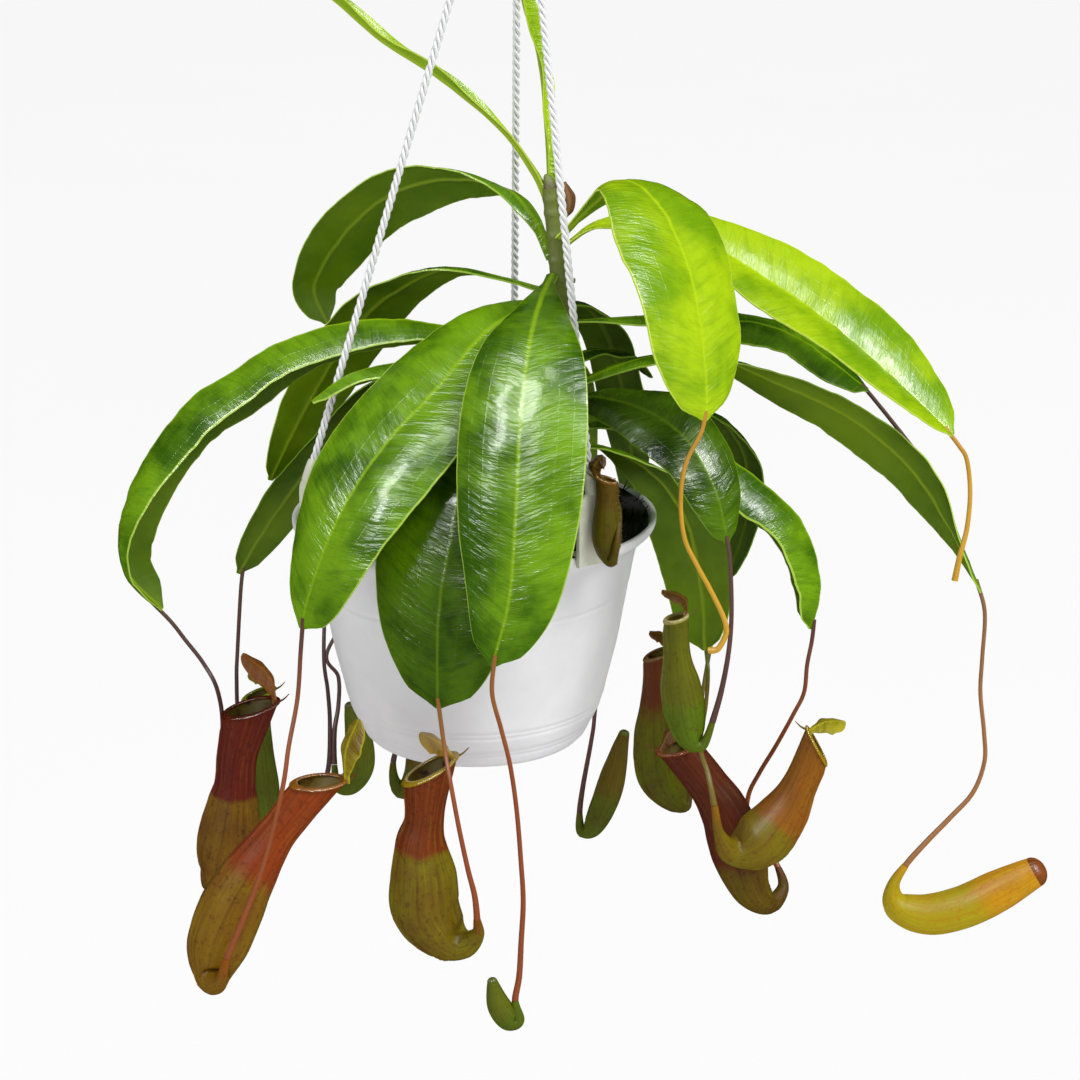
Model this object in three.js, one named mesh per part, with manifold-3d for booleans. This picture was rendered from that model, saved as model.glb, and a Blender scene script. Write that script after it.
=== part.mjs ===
// Hanging pitcher plant: a climbing Nepenthes in a white hanging pot, which three
// twisted cords carry from one hook. Millimetres, +Z up. The origin is the inside of
// the hook's bow, where the hook bears on the bar that it hangs from.
import * as THREE from "three";
import { mergeVertices } from "three/addons/utils/BufferGeometryUtils.js";
import Module from "manifold-3d";

const wasm = await Module();
wasm.setup();

// ---------------------------------------------------------------- driving sizes
const GAP = 0.3; // between a piece and what it rests on or grows from
const KNOT_DROP = 52; // from the hook's bearing point down to the cords' knot
const CORD_DROP = 356; // from the knot down to the level of the pot's rim
const HOOK_REACH = 23; // the hook hangs this far to the right of the pot's axis

const pot = { rim: 91, wall: 2, height: 116, segments: 24 };
const soilLevel = -1.5; // the soil's surface below the rim
const cord = { diameter: 4, sides: 8, steps: 14 };
const clip = { width: 16, thickness: 2.6, above: 32, below: 4, lap: 5 };
const knotRadius = 8.5;
const hookRod = 2.2; // radius of the hook's rod
const stemRadius = { foot: 6, top: 4 };
const bladeThickness = 0.8;
const tendrilRadius = { tip: 1.05, joint: 1.65 };
const groove = THREE.MathUtils.degToRad(18); // how steeply a blade rises from its rib

// Where the three clips sit round the rim, in degrees from +X, and each cord's clip.
const clipAngles = { left: -147, right: -52, rear: 78 };

// ---------------------------------------------------------------- materials
const finish = (name, color, roughness, metalness = 0) =>
  new THREE.MeshStandardMaterial({ name, color, roughness, metalness });
const finishes = {
  pot: finish("white pot plastic", 0xd9d8d0, 0.45),
  soil: finish("potting soil", 0x1b1512, 0.95),
  cord: finish("white twisted cord", 0xe8e8e4, 0.8),
  clip: finish("white clip plastic", 0xe4e6d4, 0.4),
  stem: finish("stem", 0x6b6f2a, 0.6),
  bract: finish("dry bract", 0x8a5a35, 0.8),
  leaf: finish("mature leaf", 0x4f8f12, 0.3),
  darkLeaf: finish("shaded leaf", 0x35620c, 0.35),
  youngLeaf: finish("young leaf", 0xa8d21a, 0.3),
  pitcher: finish("ripe pitcher", 0x8d5a22, 0.4),
  greenPitcher: finish("green pitcher", 0x76801c, 0.4),
  paleCup: finish("young pitcher", 0xb08f1e, 0.4),
};

// ---------------------------------------------------------------- the leaves
// rib: the midrib from the stem to the tip. half: half the blade's greatest width.
// belly: where along the rib that is. blunt: low values give a rounder tip. head: the
// compass direction that the blade grows in, in degrees from +X. roll: how far the
// blade is turned about its rib, and fold: how far its two halves hang below flat,
// both in degrees at even steps along the rib. tendril: on from the tip towards the
// pitcher that hangs from it.
const leaves = {
  leaf_front: {
    rib: [[39, -4, 122], [33, -46, 117], [28, -88, 105], [24, -114, 73], [22, -127, 35], [19, -131, -2],
      [11, -128, -35]],
    half: 31, belly: 0.54, blunt: 0.45, taper: 1.2, fold: [10],
    tendril: [[11, -127, -48], [15, -124, -67], [19, -121, -86], [22, -118, -110], [24, -116, -138],
      [25, -115, -159], [24, -114, -180], [23, -113, -199]],
  },
  leaf_front_left: {
    rib: [[41, -3, 109], [11, -34, 103], [-15, -70, 81], [-38, -90, 60], [-56, -102, 35], [-69, -104, 6],
      [-79, -98, -27]],
    half: 32, belly: 0.5, blunt: 0.42, roll: [22, 22, 8], fold: [8],
    tendril: [[-79, -99, -38], [-81, -101, -61], [-85, -108, -82], [-88, -113, -101], [-96, -115, -133],
      [-102, -116, -151], [-110, -117, -171]],
  },
  leaf_front_low: {
    rib: [[42, -3, 63], [16, -50, 63], [-1, -89, 47], [-9, -105, 14], [-14, -108, -19], [-15, -106, -64]],
    half: 38, belly: 0.62, blunt: 0.45, roll: [8], fold: [8], finish: "darkLeaf",
    tendril: [[-12, -108, -82], [-9, -116, -97], [-5, -120, -119], [-1, -120, -140], [2, -119, -154]],
  },
  leaf_left_long: {
    rib: [[42, 1, 91], [-3, 4, 93], [-36, 6, 97], [-63, 8, 95], [-96, 6, 85], [-121, 2, 70], [-142, -2, 56],
      [-165, -6, 25], [-177, -6, -7], [-175, -4, -31], [-159, 0, -52]],
    half: 23, belly: 0.55, blunt: 0.35, roll: [-10, -20, -20, -20], fold: [20, 55, 60, 35],
    tendril: [[-154, 0, -58], [-147, 0, -68], [-138, -2, -80], [-131, -6, -93], [-131, 8, -120],
      [-136, 12, -155], [-142, 12, -184]],
  },
  leaf_left_back: {
    rib: [[40, 4, 111], [16, 14, 116], [-12, 30, 118], [-35, 46, 106], [-56, 58, 88], [-76, 68, 59],
      [-95, 74, 25], [-110, 76, -5]],
    half: 20, belly: 0.62, blunt: 0.5, head: 135, roll: [0, -22, -20, -10], fold: [10],
  },
  leaf_left_low: {
    rib: [[41, 6, 84], [-2, 30, 78], [-39, 52, 59], [-69, 70, 28], [-94, 80, -5], [-116, 82, -37],
      [-129, 82, -59]],
    half: 18, belly: 0.6, blunt: 0.45, head: 135, roll: [0, -8, -20], fold: [10], finish: "darkLeaf",
    tendril: [[-128, 82, -69], [-131, 82, -104], [-132, 82, -119], [-133, 90, -147], [-131, 94, -178],
      [-126, 92, -199]],
  },
  leaf_left_high: {
    rib: [[39, 4, 128], [29, 8, 148], [13, 20, 161], [-17, 44, 160], [-46, 66, 147], [-70, 82, 123],
      [-85, 90, 96], [-79, 90, 76]],
    half: 21, belly: 0.6, blunt: 0.42, head: 140, roll: [35, -40, -30, -15], fold: [10],
  },
  leaf_left_small: {
    rib: [[41, -4, 78], [-1, -29, 88], [-33, -41, 87], [-57, -49, 83], [-75, -53, 71]],
    half: 10, belly: 0.6, blunt: 0.5, roll: [-20], fold: [40],
  },
  leaf_young_rolled: {
    rib: [[37, 1, 155], [30, 3, 170], [14, 8, 191], [-15, 14, 214], [-44, 20, 232], [-72, 24, 255],
      [-100, 26, 268]],
    half: 5, belly: 0.6, blunt: 0.5, fold: [-50], foot: 2.5, finish: "youngLeaf",
  },
  leaf_young_upright: {
    rib: [[38, 2, 164], [36, 8, 194], [33, 12, 222], [25, 14, 251], [21, 16, 278]],
    half: 6, belly: 0.6, blunt: 0.5, fold: [-40], foot: 3, finish: "youngLeaf",
  },
  leaf_right_bright: {
    rib: [[42, -4, 140], [57, -14, 157], [72, -26, 171], [86, -44, 165], [96, -60, 150], [103, -74, 131],
      [107, -84, 109], [109, -89, 86], [109, -90, 71]],
    half: 34, belly: 0.6, blunt: 0.5, taper: 1, roll: [0, 0, 8, 0], fold: [8], finish: "youngLeaf",
    tendril: [[107, -91, 66], [100, -92, 51], [98, -93, 34], [100, -94, 16], [106, -95, 3], [112, -96, -8],
      [118, -98, -20], [120, -99, -27], [119, -99, -32], [116, -99, -37], [112, -98, -38]],
  },
  leaf_right_outer: {
    rib: [[41, 2, 132], [62, 10, 143], [101, 12, 140], [141, 4, 119], [176, -10, 97], [208, -24, 71],
      [232, -34, 49]],
    half: 29, belly: 0.62, blunt: 0.48, roll: [-5, -25, -25, -22], fold: [-5, -16], finish: "youngLeaf",
    tendril: [[235, -35, 44], [239, -36, 37], [241, -38, 21], [240, -40, 4], [237, -42, -9],
      [235, -42, -22]],
  },
  leaf_right_long: {
    rib: [[42, 2, 62], [82, 10, 76], [117, 14, 77], [152, 14, 63], [187, 10, 47], [219, 4, 21],
      [242, -2, -14], [255, -6, -40]],
    half: 18, belly: 0.55, blunt: 0.42, roll: [-25, 10, 45, 45, 0], fold: [10],
    tendril: [[257, -6, -51], [257, -6, -75], [257, -6, -94], [260, -6, -116], [261, -6, -132],
      [256, -6, -149], [245, -6, -163], [233, -6, -177]],
  },
  leaf_right_back: {
    rib: [[42, 2, 97], [83, 20, 95], [123, 30, 92], [159, 34, 83], [199, 32, 55]],
    half: 20, belly: 0.62, blunt: 0.5, roll: [10, -10, -30], fold: [10],
    tendril: [[202, 32, 50], [216, 30, 33], [229, 28, 16], [235, 28, 5], [241, 28, -8]],
  },
  leaf_right_front: {
    rib: [[42, -4, 58], [62, -20, 64], [86, -42, 62], [104, -58, 51], [116, -68, 30], [122, -70, 6]],
    half: 20, belly: 0.5, blunt: 0.5, roll: [-10, -25, -20], fold: [5], finish: "darkLeaf",
    tendril: [[123, -72, -2], [124, -76, -26], [123, -78, -45], [120, -78, -65]],
  },
  leaf_right_hanging: {
    rib: [[42, 2, 31], [64, 16, 30], [91, 36, 10], [110, 46, -20], [118, 48, -58], [120, 40, -88]],
    half: 25, belly: 0.62, blunt: 0.45, head: 52, fold: [8],
    tendril: [[121, 34, -98], [118, 0, -102], [113, -38, -110], [116, -54, -119]],
  },
  leaf_right_low: {
    rib: [[42, -2, 43], [77, -12, 52], [111, -20, 43], [140, -26, 24], [161, -30, 4], [171, -30, -26],
      [168, -28, -52]],
    half: 20, belly: 0.55, blunt: 0.4, roll: [5, 20], fold: [20, 55, 60],
    tendril: [[168, -28, -58], [166, -28, -71], [165, -27, -86], [160, -25, -99], [153, -14, -120],
      [147, 8, -144], [142, 14, -160], [142, 14, -179], [151, 12, -187]],
  },
  leaf_right_inner: {
    rib: [[42, 4, 51], [78, 26, 54], [116, 42, 43], [138, 54, 18], [142, 60, -19], [133, 64, -57]],
    half: 18, belly: 0.5, blunt: 0.5, fold: [10], finish: "darkLeaf",
    tendril: [[126, 58, -80], [119, 44, -114], [115, 31, -145]],
  },
  leaf_back_right: {
    rib: [[40, 6, 103], [53, 32, 100], [66, 58, 81], [76, 78, 46], [82, 86, 8], [85, 86, -31]],
    half: 15, belly: 0.5, blunt: 0.5, fold: [10], finish: "darkLeaf",
  },
  leaf_back_left: {
    rib: [[41, 6, 56], [10, 32, 54], [-26, 58, 38], [-54, 84, 2], [-72, 90, -36], [-84, 80, -74]],
    half: 11, belly: 0.55, blunt: 0.5, head: 130, fold: [10],
    tendril: [[-83, 68, -102], [-81, 64, -120], [-80, 60, -138], [-81, 52, -161], [-87, 44, -175]],
  },
  leaf_back_low: {
    rib: [[41, 6, 36], [16, 42, 36], [-10, 74, 26], [-28, 102, 0], [-44, 112, -42], [-66, 104, -84]],
    half: 12, belly: 0.55, blunt: 0.5, head: 108, fold: [10],
    tendril: [[-83, 90, -107], [-77, 86, -120], [-77, 82, -135], [-79, 76, -148]],
  },
  leaf_back: {
    rib: [[41, 6, 70], [39, 50, 70], [45, 92, 47], [47, 120, 4], [48, 126, -43], [49, 120, -87]],
    half: 18, belly: 0.55, blunt: 0.5, head: 90, fold: [10],
    tendril: [[54, 114, -118], [63, 106, -137], [63, 100, -151], [61, 96, -164], [57, 90, -185]],
  },
  leaf_back_mid: {
    rib: [[41, 8, 45], [26, 40, 54], [5, 74, 46], [0, 104, 12], [-10, 120, -40], [-26, 112, -98]],
    half: 11, belly: 0.55, blunt: 0.5, head: 94, fold: [10],
    tendril: [[-38, 104, -135], [-44, 94, -157]],
  },
  leaf_back_small: {
    rib: [[41, 4, 73], [58, 20, 78], [78, 38, 72], [90, 48, 58]],
    half: 8, belly: 0.5, blunt: 0.5, fold: [10], finish: "darkLeaf",
  },
};

// ---------------------------------------------------------------- the pitchers
// axis: from the joint with the tendril, round the swollen cup, to the mouth, each with
// its radius. leaf: whose tendril bears it. slant and toLid: how steeply the mouth rises,
// and towards where, which is the lid's side. lid: two points on from its hinge on the
// mouth's edge. hollow: how far back down the axis the cup is open.
const pitchers = {
  pitcher_front_left: {
    leaf: "leaf_front_left",
    axis: [[-117, -116, -188, 1.7], [-121, -112, -202, 3.2], [-126, -101, -207, 8], [-125, -94, -196, 14.2],
      [-119, -92, -178, 16], [-109, -91, -158, 13.8], [-96, -90, -138, 9.8], [-87, -90, -126, 9.2],
      [-73, -90, -108, 10]],
    slant: 1.1, toLid: [1, 0], lid: [[1, 2, 15], [7, 4, 30]], lidHalf: 10, hollow: 0.55, finish: "pitcher",
  },
  pitcher_front_low: {
    leaf: "leaf_front_low",
    axis: [[3, -117, -167, 1.7], [3, -113, -177, 3.5], [-4, -107, -185, 7.5], [-13, -103, -182, 12.5],
      [-22, -101, -168, 16.5], [-23, -100, -152, 16], [-24, -100, -136, 12.3], [-22, -100, -121, 9.2],
      [-19, -100, -97, 12]],
    slant: 0.7, toLid: [1, 0], lid: [[-8, 2, 6], [-17, 2, 11]], lidHalf: 10, hollow: 0.55, finish: "pitcher",
  },
  pitcher_left: {
    leaf: "leaf_left_long",
    axis: [[-144, 10, -199, 1.7], [-142, 6, -206, 3.2], [-135, -2, -198, 8], [-130, -8, -181, 14.5],
      [-127, -10, -169, 16], [-125, -10, -155, 13.5], [-123, -10, -141, 10.3], [-121, -10, -125, 10.2],
      [-114, -10, -101, 12.8]],
    slant: 0.6, toLid: [1, 0], lid: [[-4, 2, 13], [-17, 3, 25]], lidHalf: 10, hollow: 0.55, finish: "pitcher",
  },
  pitcher_left_back: {
    leaf: "leaf_left_low",
    axis: [[-122, 88, -209, 1.6], [-119, 84, -214, 3], [-119, 80, -201, 6.5], [-120, 80, -184, 9.5],
      [-121, 80, -161, 8], [-122, 80, -144, 8], [-120, 80, -128, 8.5]],
    slant: 0.5, toLid: [1, 0], lid: [[-6, 2, 7], [-14, 3, 8]], lidHalf: 8, hollow: 0.5,
    finish: "greenPitcher",
  },
  pitcher_right_back: {
    leaf: "leaf_right_inner",
    axis: [[112, 24, -160, 1.6], [110, 21, -168, 3], [104, 20, -163, 8], [97, 20, -149, 13],
      [94, 20, -131, 12], [93, 20, -111, 7.5], [93, 20, -95, 6], [94, 20, -83, 7]],
    slant: 0.5, toLid: [1, 0], lid: [[-4, 2, 7], [-11, 3, 9]], lidHalf: 7, hollow: 0.5,
    finish: "greenPitcher",
  },
  pitcher_right_front: {
    leaf: "leaf_right_front",
    axis: [[116, -77, -82, 1.5], [113, -76, -92, 2.2], [110, -75, -95, 3.6], [106, -73, -91, 7],
      [103, -71, -79, 10], [101, -70, -66, 9.5], [99, -70, -51, 6.5], [98, -70, -32, 6]],
    slant: 0.2, toLid: [1, 0], lid: [[-1, 2, 8], [-12, 3, 12]], lidHalf: 6, hollow: 0.5,
    finish: "greenPitcher",
  },
  pitcher_right_red: {
    leaf: "leaf_right_low",
    axis: [[158, 6, -197, 1.7], [160, -2, -205, 3.2], [152, -10, -210, 5.5], [142, -15, -199, 10],
      [135, -16, -178, 14], [128, -16, -157, 12.5], [118, -16, -140, 10.2], [103, -16, -120, 10]],
    slant: 0.5, toLid: [-1, 0], lid: [[6, 3, 10], [14, 4, 15]], lidHalf: 8, hollow: 0.55, finish: "pitcher",
  },
  pitcher_right_fork: {
    leaf: "leaf_right_hanging",
    axis: [[119, -60, -133, 1.7], [122, -60, -149, 3], [129, -54, -160, 7.5], [142, -49, -157, 14.2],
      [154, -46, -144, 12.3], [162, -46, -128, 8.6], [170, -46, -107, 8.2]],
    slant: 0.9, toLid: [-1, 0], lid: [[9, 2, 3], [19, 3, 3]], lidHalf: 10, hollow: 0.5, finish: "pitcher",
  },
  pitcher_rim: {
    axis: [[69, -84, 12, 1.5], [67, -82, 1, 2.4], [65, -79, 3, 4.5], [64, -78, 10, 6.4], [64, -78, 20, 6.2],
      [64, -78, 30, 4.8], [64, -78, 39, 5.2]],
    shoot: [[41, 0, 24], [54, -22, 30], [64, -50, 30], [70, -72, 24]],
    slant: 0.3, toLid: [-1, 0], lid: [[-1, 2, 5], [3, 3, 10]], lidHalf: 5, hollow: 0.4, finish: "pitcher",
  },
  pitcher_far_right: {
    leaf: "leaf_right_long",
    axis: [[223, -6, -190, 1.8], [217, -6, -202, 3.5], [220, -6, -213, 7.5], [235, -6, -218, 10.5],
      [254, -6, -214, 11], [273, -6, -204, 10.5], [290, -6, -194, 8]],
    finish: "paleCup",
  },
  pitcher_behind_pot: {
    leaf: "leaf_back",
    axis: [[55, 86, -200, 1.6], [56, 84, -210, 3], [62, 82, -208, 5], [68, 80, -194, 7], [73, 80, -177, 7],
      [79, 80, -151, 3]],
    finish: "greenPitcher",
  },
  pitcher_left_closed: {
    leaf: "leaf_back_low",
    axis: [[-79, 70, -165, 1.6], [-77, 66, -176, 2.8], [-70, 62, -173, 6], [-64, 60, -161, 7.5],
      [-65, 60, -144, 7], [-69, 60, -127, 3]],
    finish: "greenPitcher",
  },
  pitcher_under_pot: {
    leaf: "leaf_back_mid",
    axis: [[-48, 88, -171, 1.6], [-47, 86, -182, 3.2], [-42, 84, -186, 5], [-36, 82, -178, 6],
      [-34, 80, -163, 6], [-33, 78, -151, 5]],
    finish: "greenPitcher",
  },
  pitcher_bud: {
    leaf: "leaf_front",
    axis: [[21, -113, -212, 1.6], [22, -113, -222, 3.6], [18, -113, -222, 5.5], [13, -113, -214, 5.5],
      [10, -113, -202, 2.5]],
    finish: "greenPitcher",
  },
};

const stemPath = [[34, 6, -42], [41, 4, 17], [43, 2, 47], [43, 0, 93], [42, 0, 123], [38, 0, 163]];
const bractPath = [[43, -1, 147], [46.5, -2, 156], [44, -2, 166]];

// ---------------------------------------------------------------- plain helpers
const vec = (p) => new THREE.Vector3(p[0], p[1], p[2]);
const curveOf = (points) => new THREE.CatmullRomCurve3(points.map(vec), false, "catmullrom", 0.5);
const UP = new THREE.Vector3(0, 0, 1);
const REAR = new THREE.Vector3(0, 1, 0);

/** A value that eases through keys set at even steps of t from 0 to 1. */
function keyed(keys, t) {
  if (keys.length === 1) return keys[0];
  const at = t * (keys.length - 1);
  const k = Math.min(Math.floor(at), keys.length - 2);
  const w = at - k;
  const ease = w * w * (3 - 2 * w);
  return keys[k] * (1 - ease) + keys[k + 1] * ease;
}

/** One closed mesh over rings of equal length, capped by a fan at either end. */
function sweep(rings, mirrored = () => false) {
  const sides = rings[0].length;
  const position = rings.flat();
  const index = [];
  for (let i = 0; i < rings.length - 1; i++) {
    for (let j = 0; j < sides; j++) {
      const a = i * sides + j;
      const b = i * sides + ((j + 1) % sides);
      const c = a + sides;
      const d = b + sides;
      if (mirrored(j)) index.push(a, b, c, b, d, c);
      else index.push(a, b, d, a, d, c);
    }
  }
  for (const [ring, first, flip] of [[rings[0], 0, true], [rings.at(-1), (rings.length - 1) * sides, false]]) {
    const centre = ring.reduce((sum, p) => sum.add(p), new THREE.Vector3()).divideScalar(sides);
    position.push(centre);
    for (let j = 0; j < sides; j++) {
      const pair = [first + j, first + ((j + 1) % sides)];
      if (flip) pair.reverse();
      index.push(...pair, position.length - 1);
    }
  }
  const geometry = new THREE.BufferGeometry().setFromPoints(position);
  geometry.setIndex(index);
  return geometry;
}

/** The signed volume of a closed mesh, which tells which way its faces point. */
function volume(geometry) {
  const p = geometry.attributes.position;
  const at = (k) => new THREE.Vector3().fromBufferAttribute(p, geometry.index.getX(k));
  let sum = 0;
  for (let k = 0; k < geometry.index.count; k += 3) sum += at(k).dot(at(k + 1).cross(at(k + 2))) / 6;
  return sum;
}

/** Faces outwards, whichever way round the rings ran. */
function outward(geometry) {
  if (volume(geometry) > 0) return geometry;
  const index = Array.from(geometry.index.array);
  for (let k = 0; k < index.length; k += 3) [index[k], index[k + 1]] = [index[k + 1], index[k]];
  geometry.setIndex(index);
  return geometry;
}

/** A closed geometry as a solid that can be joined and cut. */
function solid(geometry) {
  const bare = geometry.clone();
  bare.deleteAttribute("normal");
  bare.deleteAttribute("uv");
  const merged = outward(mergeVertices(bare, 1e-4));
  return new wasm.Manifold(new wasm.Mesh({
    numProp: 3,
    vertProperties: new Float32Array(merged.attributes.position.array),
    triVerts: new Uint32Array(merged.index.array),
  }));
}

/** The largest single body of a solid, as a geometry. */
function geometryOf(shape) {
  const whole = shape.decompose().sort((a, b) => b.volume() - a.volume())[0];
  const mesh = whole.getMesh();
  const geometry = new THREE.BufferGeometry();
  geometry.setAttribute("position", new THREE.BufferAttribute(mesh.vertProperties, 3));
  geometry.setIndex(new THREE.BufferAttribute(mesh.triVerts, 1));
  return geometry;
}

/** A ring of points round a centre, square to a direction. */
function ringAt(centre, along, radius, sides) {
  const side = new THREE.Vector3().crossVectors(along, REAR).normalize();
  const other = new THREE.Vector3().crossVectors(side, along).normalize();
  return Array.from({ length: sides }, (_, j) => {
    const turn = (2 * Math.PI * j) / sides;
    return centre.clone().addScaledVector(side, radius * Math.cos(turn))
      .addScaledVector(other, radius * Math.sin(turn));
  });
}

/** A tube of changing radius over a stretch of a curve. */
function taperedTube(curve, from, to, steps, radiusAt, sides) {
  const rings = Array.from({ length: steps + 1 }, (_, i) => {
    const t = from + ((to - from) * i) / steps;
    return ringAt(curve.getPoint(t), curve.getTangent(t), radiusAt(i / steps), sides);
  });
  return sweep(rings);
}

// ---------------------------------------------------------------- blades
const BLADE_STEPS = 10;
const ACROSS = 2; // strips in each half of a blade

/** A leaf blade: a thin sheet with a grooved midrib, curved and waved margins. */
function blade({ rib, half, belly, blunt, taper = 0.8, head, roll = [0], fold = [10], foot = 3, wave = 1.1 },
  steps = BLADE_STEPS) {
  const curve = curveOf(rib);
  const ends = vec(rib.at(-1)).sub(vec(rib[0]));
  const heading = head === undefined ? Math.atan2(ends.y, ends.x) : THREE.MathUtils.degToRad(head);
  const level = new THREE.Vector3(Math.sin(heading), -Math.cos(heading), 0);
  const power = Math.log(0.5) / Math.log(belly);
  const rings = [];
  for (let i = 0; i <= steps; i++) {
    const t = i / steps;
    const centre = curve.getPointAt(t);
    const along = curve.getTangentAt(t);
    const side = level.clone().addScaledVector(along, -level.dot(along)).normalize();
    const normal = new THREE.Vector3().crossVectors(side, along).normalize();
    const turn = THREE.MathUtils.degToRad(keyed(roll, t));
    const across = side.clone().multiplyScalar(Math.cos(turn)).addScaledVector(normal, Math.sin(turn));
    const rise = normal.clone().multiplyScalar(Math.cos(turn)).addScaledVector(side, -Math.sin(turn));
    const swell = half * Math.max(Math.sin(Math.PI * t ** power), 0) ** (t < belly ? taper : blunt);
    const width = i === steps ? 1.4 : Math.max(swell, foot * (1 - t) ** 1.5, 1.4);
    const hang = THREE.MathUtils.degToRad(keyed(fold, t));
    const upper = [];
    for (const hand of [-1, 1]) {
      let out = 0;
      let lift = 0;
      const row = [];
      for (let j = 1; j <= ACROSS; j++) {
        const slope = groove * (1 - (2 * (j - 0.5)) / ACROSS) - hang;
        out += (Math.cos(slope) * width) / ACROSS;
        lift += (Math.sin(slope) * width) / ACROSS;
        const ripple = wave * (j / ACROSS) ** 2 * Math.sin(6 * Math.PI * t + hand) * Math.sin(Math.PI * t);
        row.push(centre.clone().addScaledVector(across, hand * out).addScaledVector(rise, lift + ripple));
      }
      if (hand < 0) upper.push(...row.reverse(), centre.clone());
      else upper.push(...row);
    }
    const lower = upper.map((p) => p.clone().addScaledVector(rise, -bladeThickness)).reverse();
    rings.push([...upper, ...lower]);
  }
  const strips = 2 * ACROSS; // the top strips come first, then the two edges and the underside
  return sweep(rings, (j) => j > strips);
}

// ---------------------------------------------------------------- sub-parts
const TENDRIL_SIDES = 5;
const PITCHER_SIDES = 8;

/** The curve that a leaf's tendril and its pitcher share, and where they meet on it. */
function hangingCurve(lead, axis = []) {
  const points = [...lead, ...axis.map((p) => p.slice(0, 3))];
  const meet = axis.length ? lead.length / (points.length - 1) : 1;
  return { curve: curveOf(points), meet, length: curveOf(points).getLength() };
}

/** A tube that stops half a gap short of the pitcher's joint. */
function tendrilTube(lead, axis) {
  const { curve, meet, length } = hangingCurve(lead, axis);
  const stop = axis ? meet - GAP / 2 / length : 1;
  const radiusAt = (s) => tendrilRadius.tip + (tendrilRadius.joint - tendrilRadius.tip) * s ** 3;
  return taperedTube(curve, 0, stop, Math.round(1.25 * lead.length), radiusAt, TENDRIL_SIDES);
}

/** A blade, with its tendril joined to the tip, and cut clear of the stem. */
function leaf(name, spec, stemRoom) {
  const bearer = Object.values(pitchers).find((p) => p.leaf === name);
  let shape = solid(blade(spec));
  if (spec.tendril) {
    const tip = curveOf(spec.rib).getPointAt(0.975).toArray();
    shape = shape.add(solid(tendrilTube([tip, ...spec.tendril], bearer?.axis)));
  }
  return geometryOf(shape.subtract(stemRoom));
}

/** A pitcher: a swollen cup on its joint, open at a slanted mouth under a lid, or closed. */
function pitcher({ leaf: leafName, shoot, axis, slant = 0, toLid = [1, 0], lid, lidHalf, hollow }, stemRoom) {
  const spec = leaves[leafName];
  const lead = shoot ?? [curveOf(spec.rib).getPointAt(0.975).toArray(), ...spec.tendril];
  const { curve, meet, length } = hangingCurve(lead, axis);
  const radii = curveOf(axis.map((p) => [p[3], 0, 0]));
  const steps = Math.round(1.5 * (axis.length - 1));
  const wall = 1.3;
  const uphill = new THREE.Vector3(toLid[0], toLid[1], 0);
  const ring = (s, shrink, lean) => {
    const t = meet + (1 - meet) * s;
    const along = curve.getTangent(t);
    const centre = curve.getPoint(t);
    const points = ringAt(centre, along, Math.max(radii.getPoint(s).x - shrink, 0.8), PITCHER_SIDES);
    for (const p of points) p.addScaledVector(along, lean * p.clone().sub(centre).dot(uphill));
    return points;
  };
  const rings = [];
  if (shoot) {
    const run = 8;
    for (let i = 0; i < run; i++) rings.push(ringAt(curve.getPoint((meet * i) / run),
      curve.getTangent((meet * i) / run), tendrilRadius.tip, PITCHER_SIDES));
  }
  const start = shoot ? 0 : GAP / 2 / length / (1 - meet);
  for (let i = 0; i <= steps; i++) {
    const s = Math.max(i / steps, start);
    const nearMouth = Math.max(0, 1 - (1 - s) * 5);
    rings.push(ring(s, 0, lid ? slant * nearMouth : 0));
  }
  if (!lid) return geometryOf(solid(sweep(rings)));
  const inner = Math.round(steps * hollow);
  for (let i = 0; i <= inner; i++) {
    const s = 1 - i / steps;
    rings.push(ring(s, wall, slant * Math.max(0, 1 - (1 - s) * 5)));
  }
  let cup = solid(sweep(rings));
  const mouth = ring(1, wall / 2, slant);
  const hinge = mouth.reduce((best, p) => (p.dot(uphill) > best.dot(uphill) ? p : best));
  const lidRib = [[0, 0, -0.8], ...lid].map((step) => hinge.clone().add(vec(step)).toArray());
  const flap = { rib: lidRib, half: lidHalf, belly: 0.6, blunt: 0.5, foot: 3, fold: [12], wave: 0.4 };
  cup = cup.add(solid(blade(flap, 5)));
  return geometryOf(shoot ? cup.subtract(stemRoom) : cup);
}

/** The pot's outside, from the middle of its foot to the edge of its flared rim. */
const potOutside = [[0, -116], [50, -116], [57, -112.5], [64, -98], [67.5, -84], [72, -65], [75, -48],
  [78, -32], [82, -14], [90, -5], [91, 0]];

function potShell() {
  const inside = [[88.6, 0], [87.4, -4.2], [79.8, -13], [75.9, -32], [72.9, -48], [69.9, -65], [65.4, -84],
    [61.9, -97.4], [55.4, -110], [49.4, -113.6], [0, -113.6]];
  const profile = [...potOutside, ...inside].map(([r, z]) => new THREE.Vector2(r, z));
  return turned(profile, pot.segments);
}

/** A lathe about Z of a profile given as radius and height. */
function turned(profile, segments) {
  return new THREE.LatheGeometry(profile, segments).rotateX(Math.PI / 2);
}

function soilPlug(stemRoom) {
  const profile = [[0, -113.2], [49, -113.2], [55, -109.6], [61.5, -97.2], [65, -84], [69.5, -65],
    [72.5, -48], [75.5, -32], [78.9, -16], [79.3, -13.2], [85.4, -6.1], [82, -3.4], [0, soilLevel]];
  const plug = turned(profile.map(([r, z]) => new THREE.Vector2(r, z)), pot.segments);
  return geometryOf(solid(plug).subtract(stemRoom));
}

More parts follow.
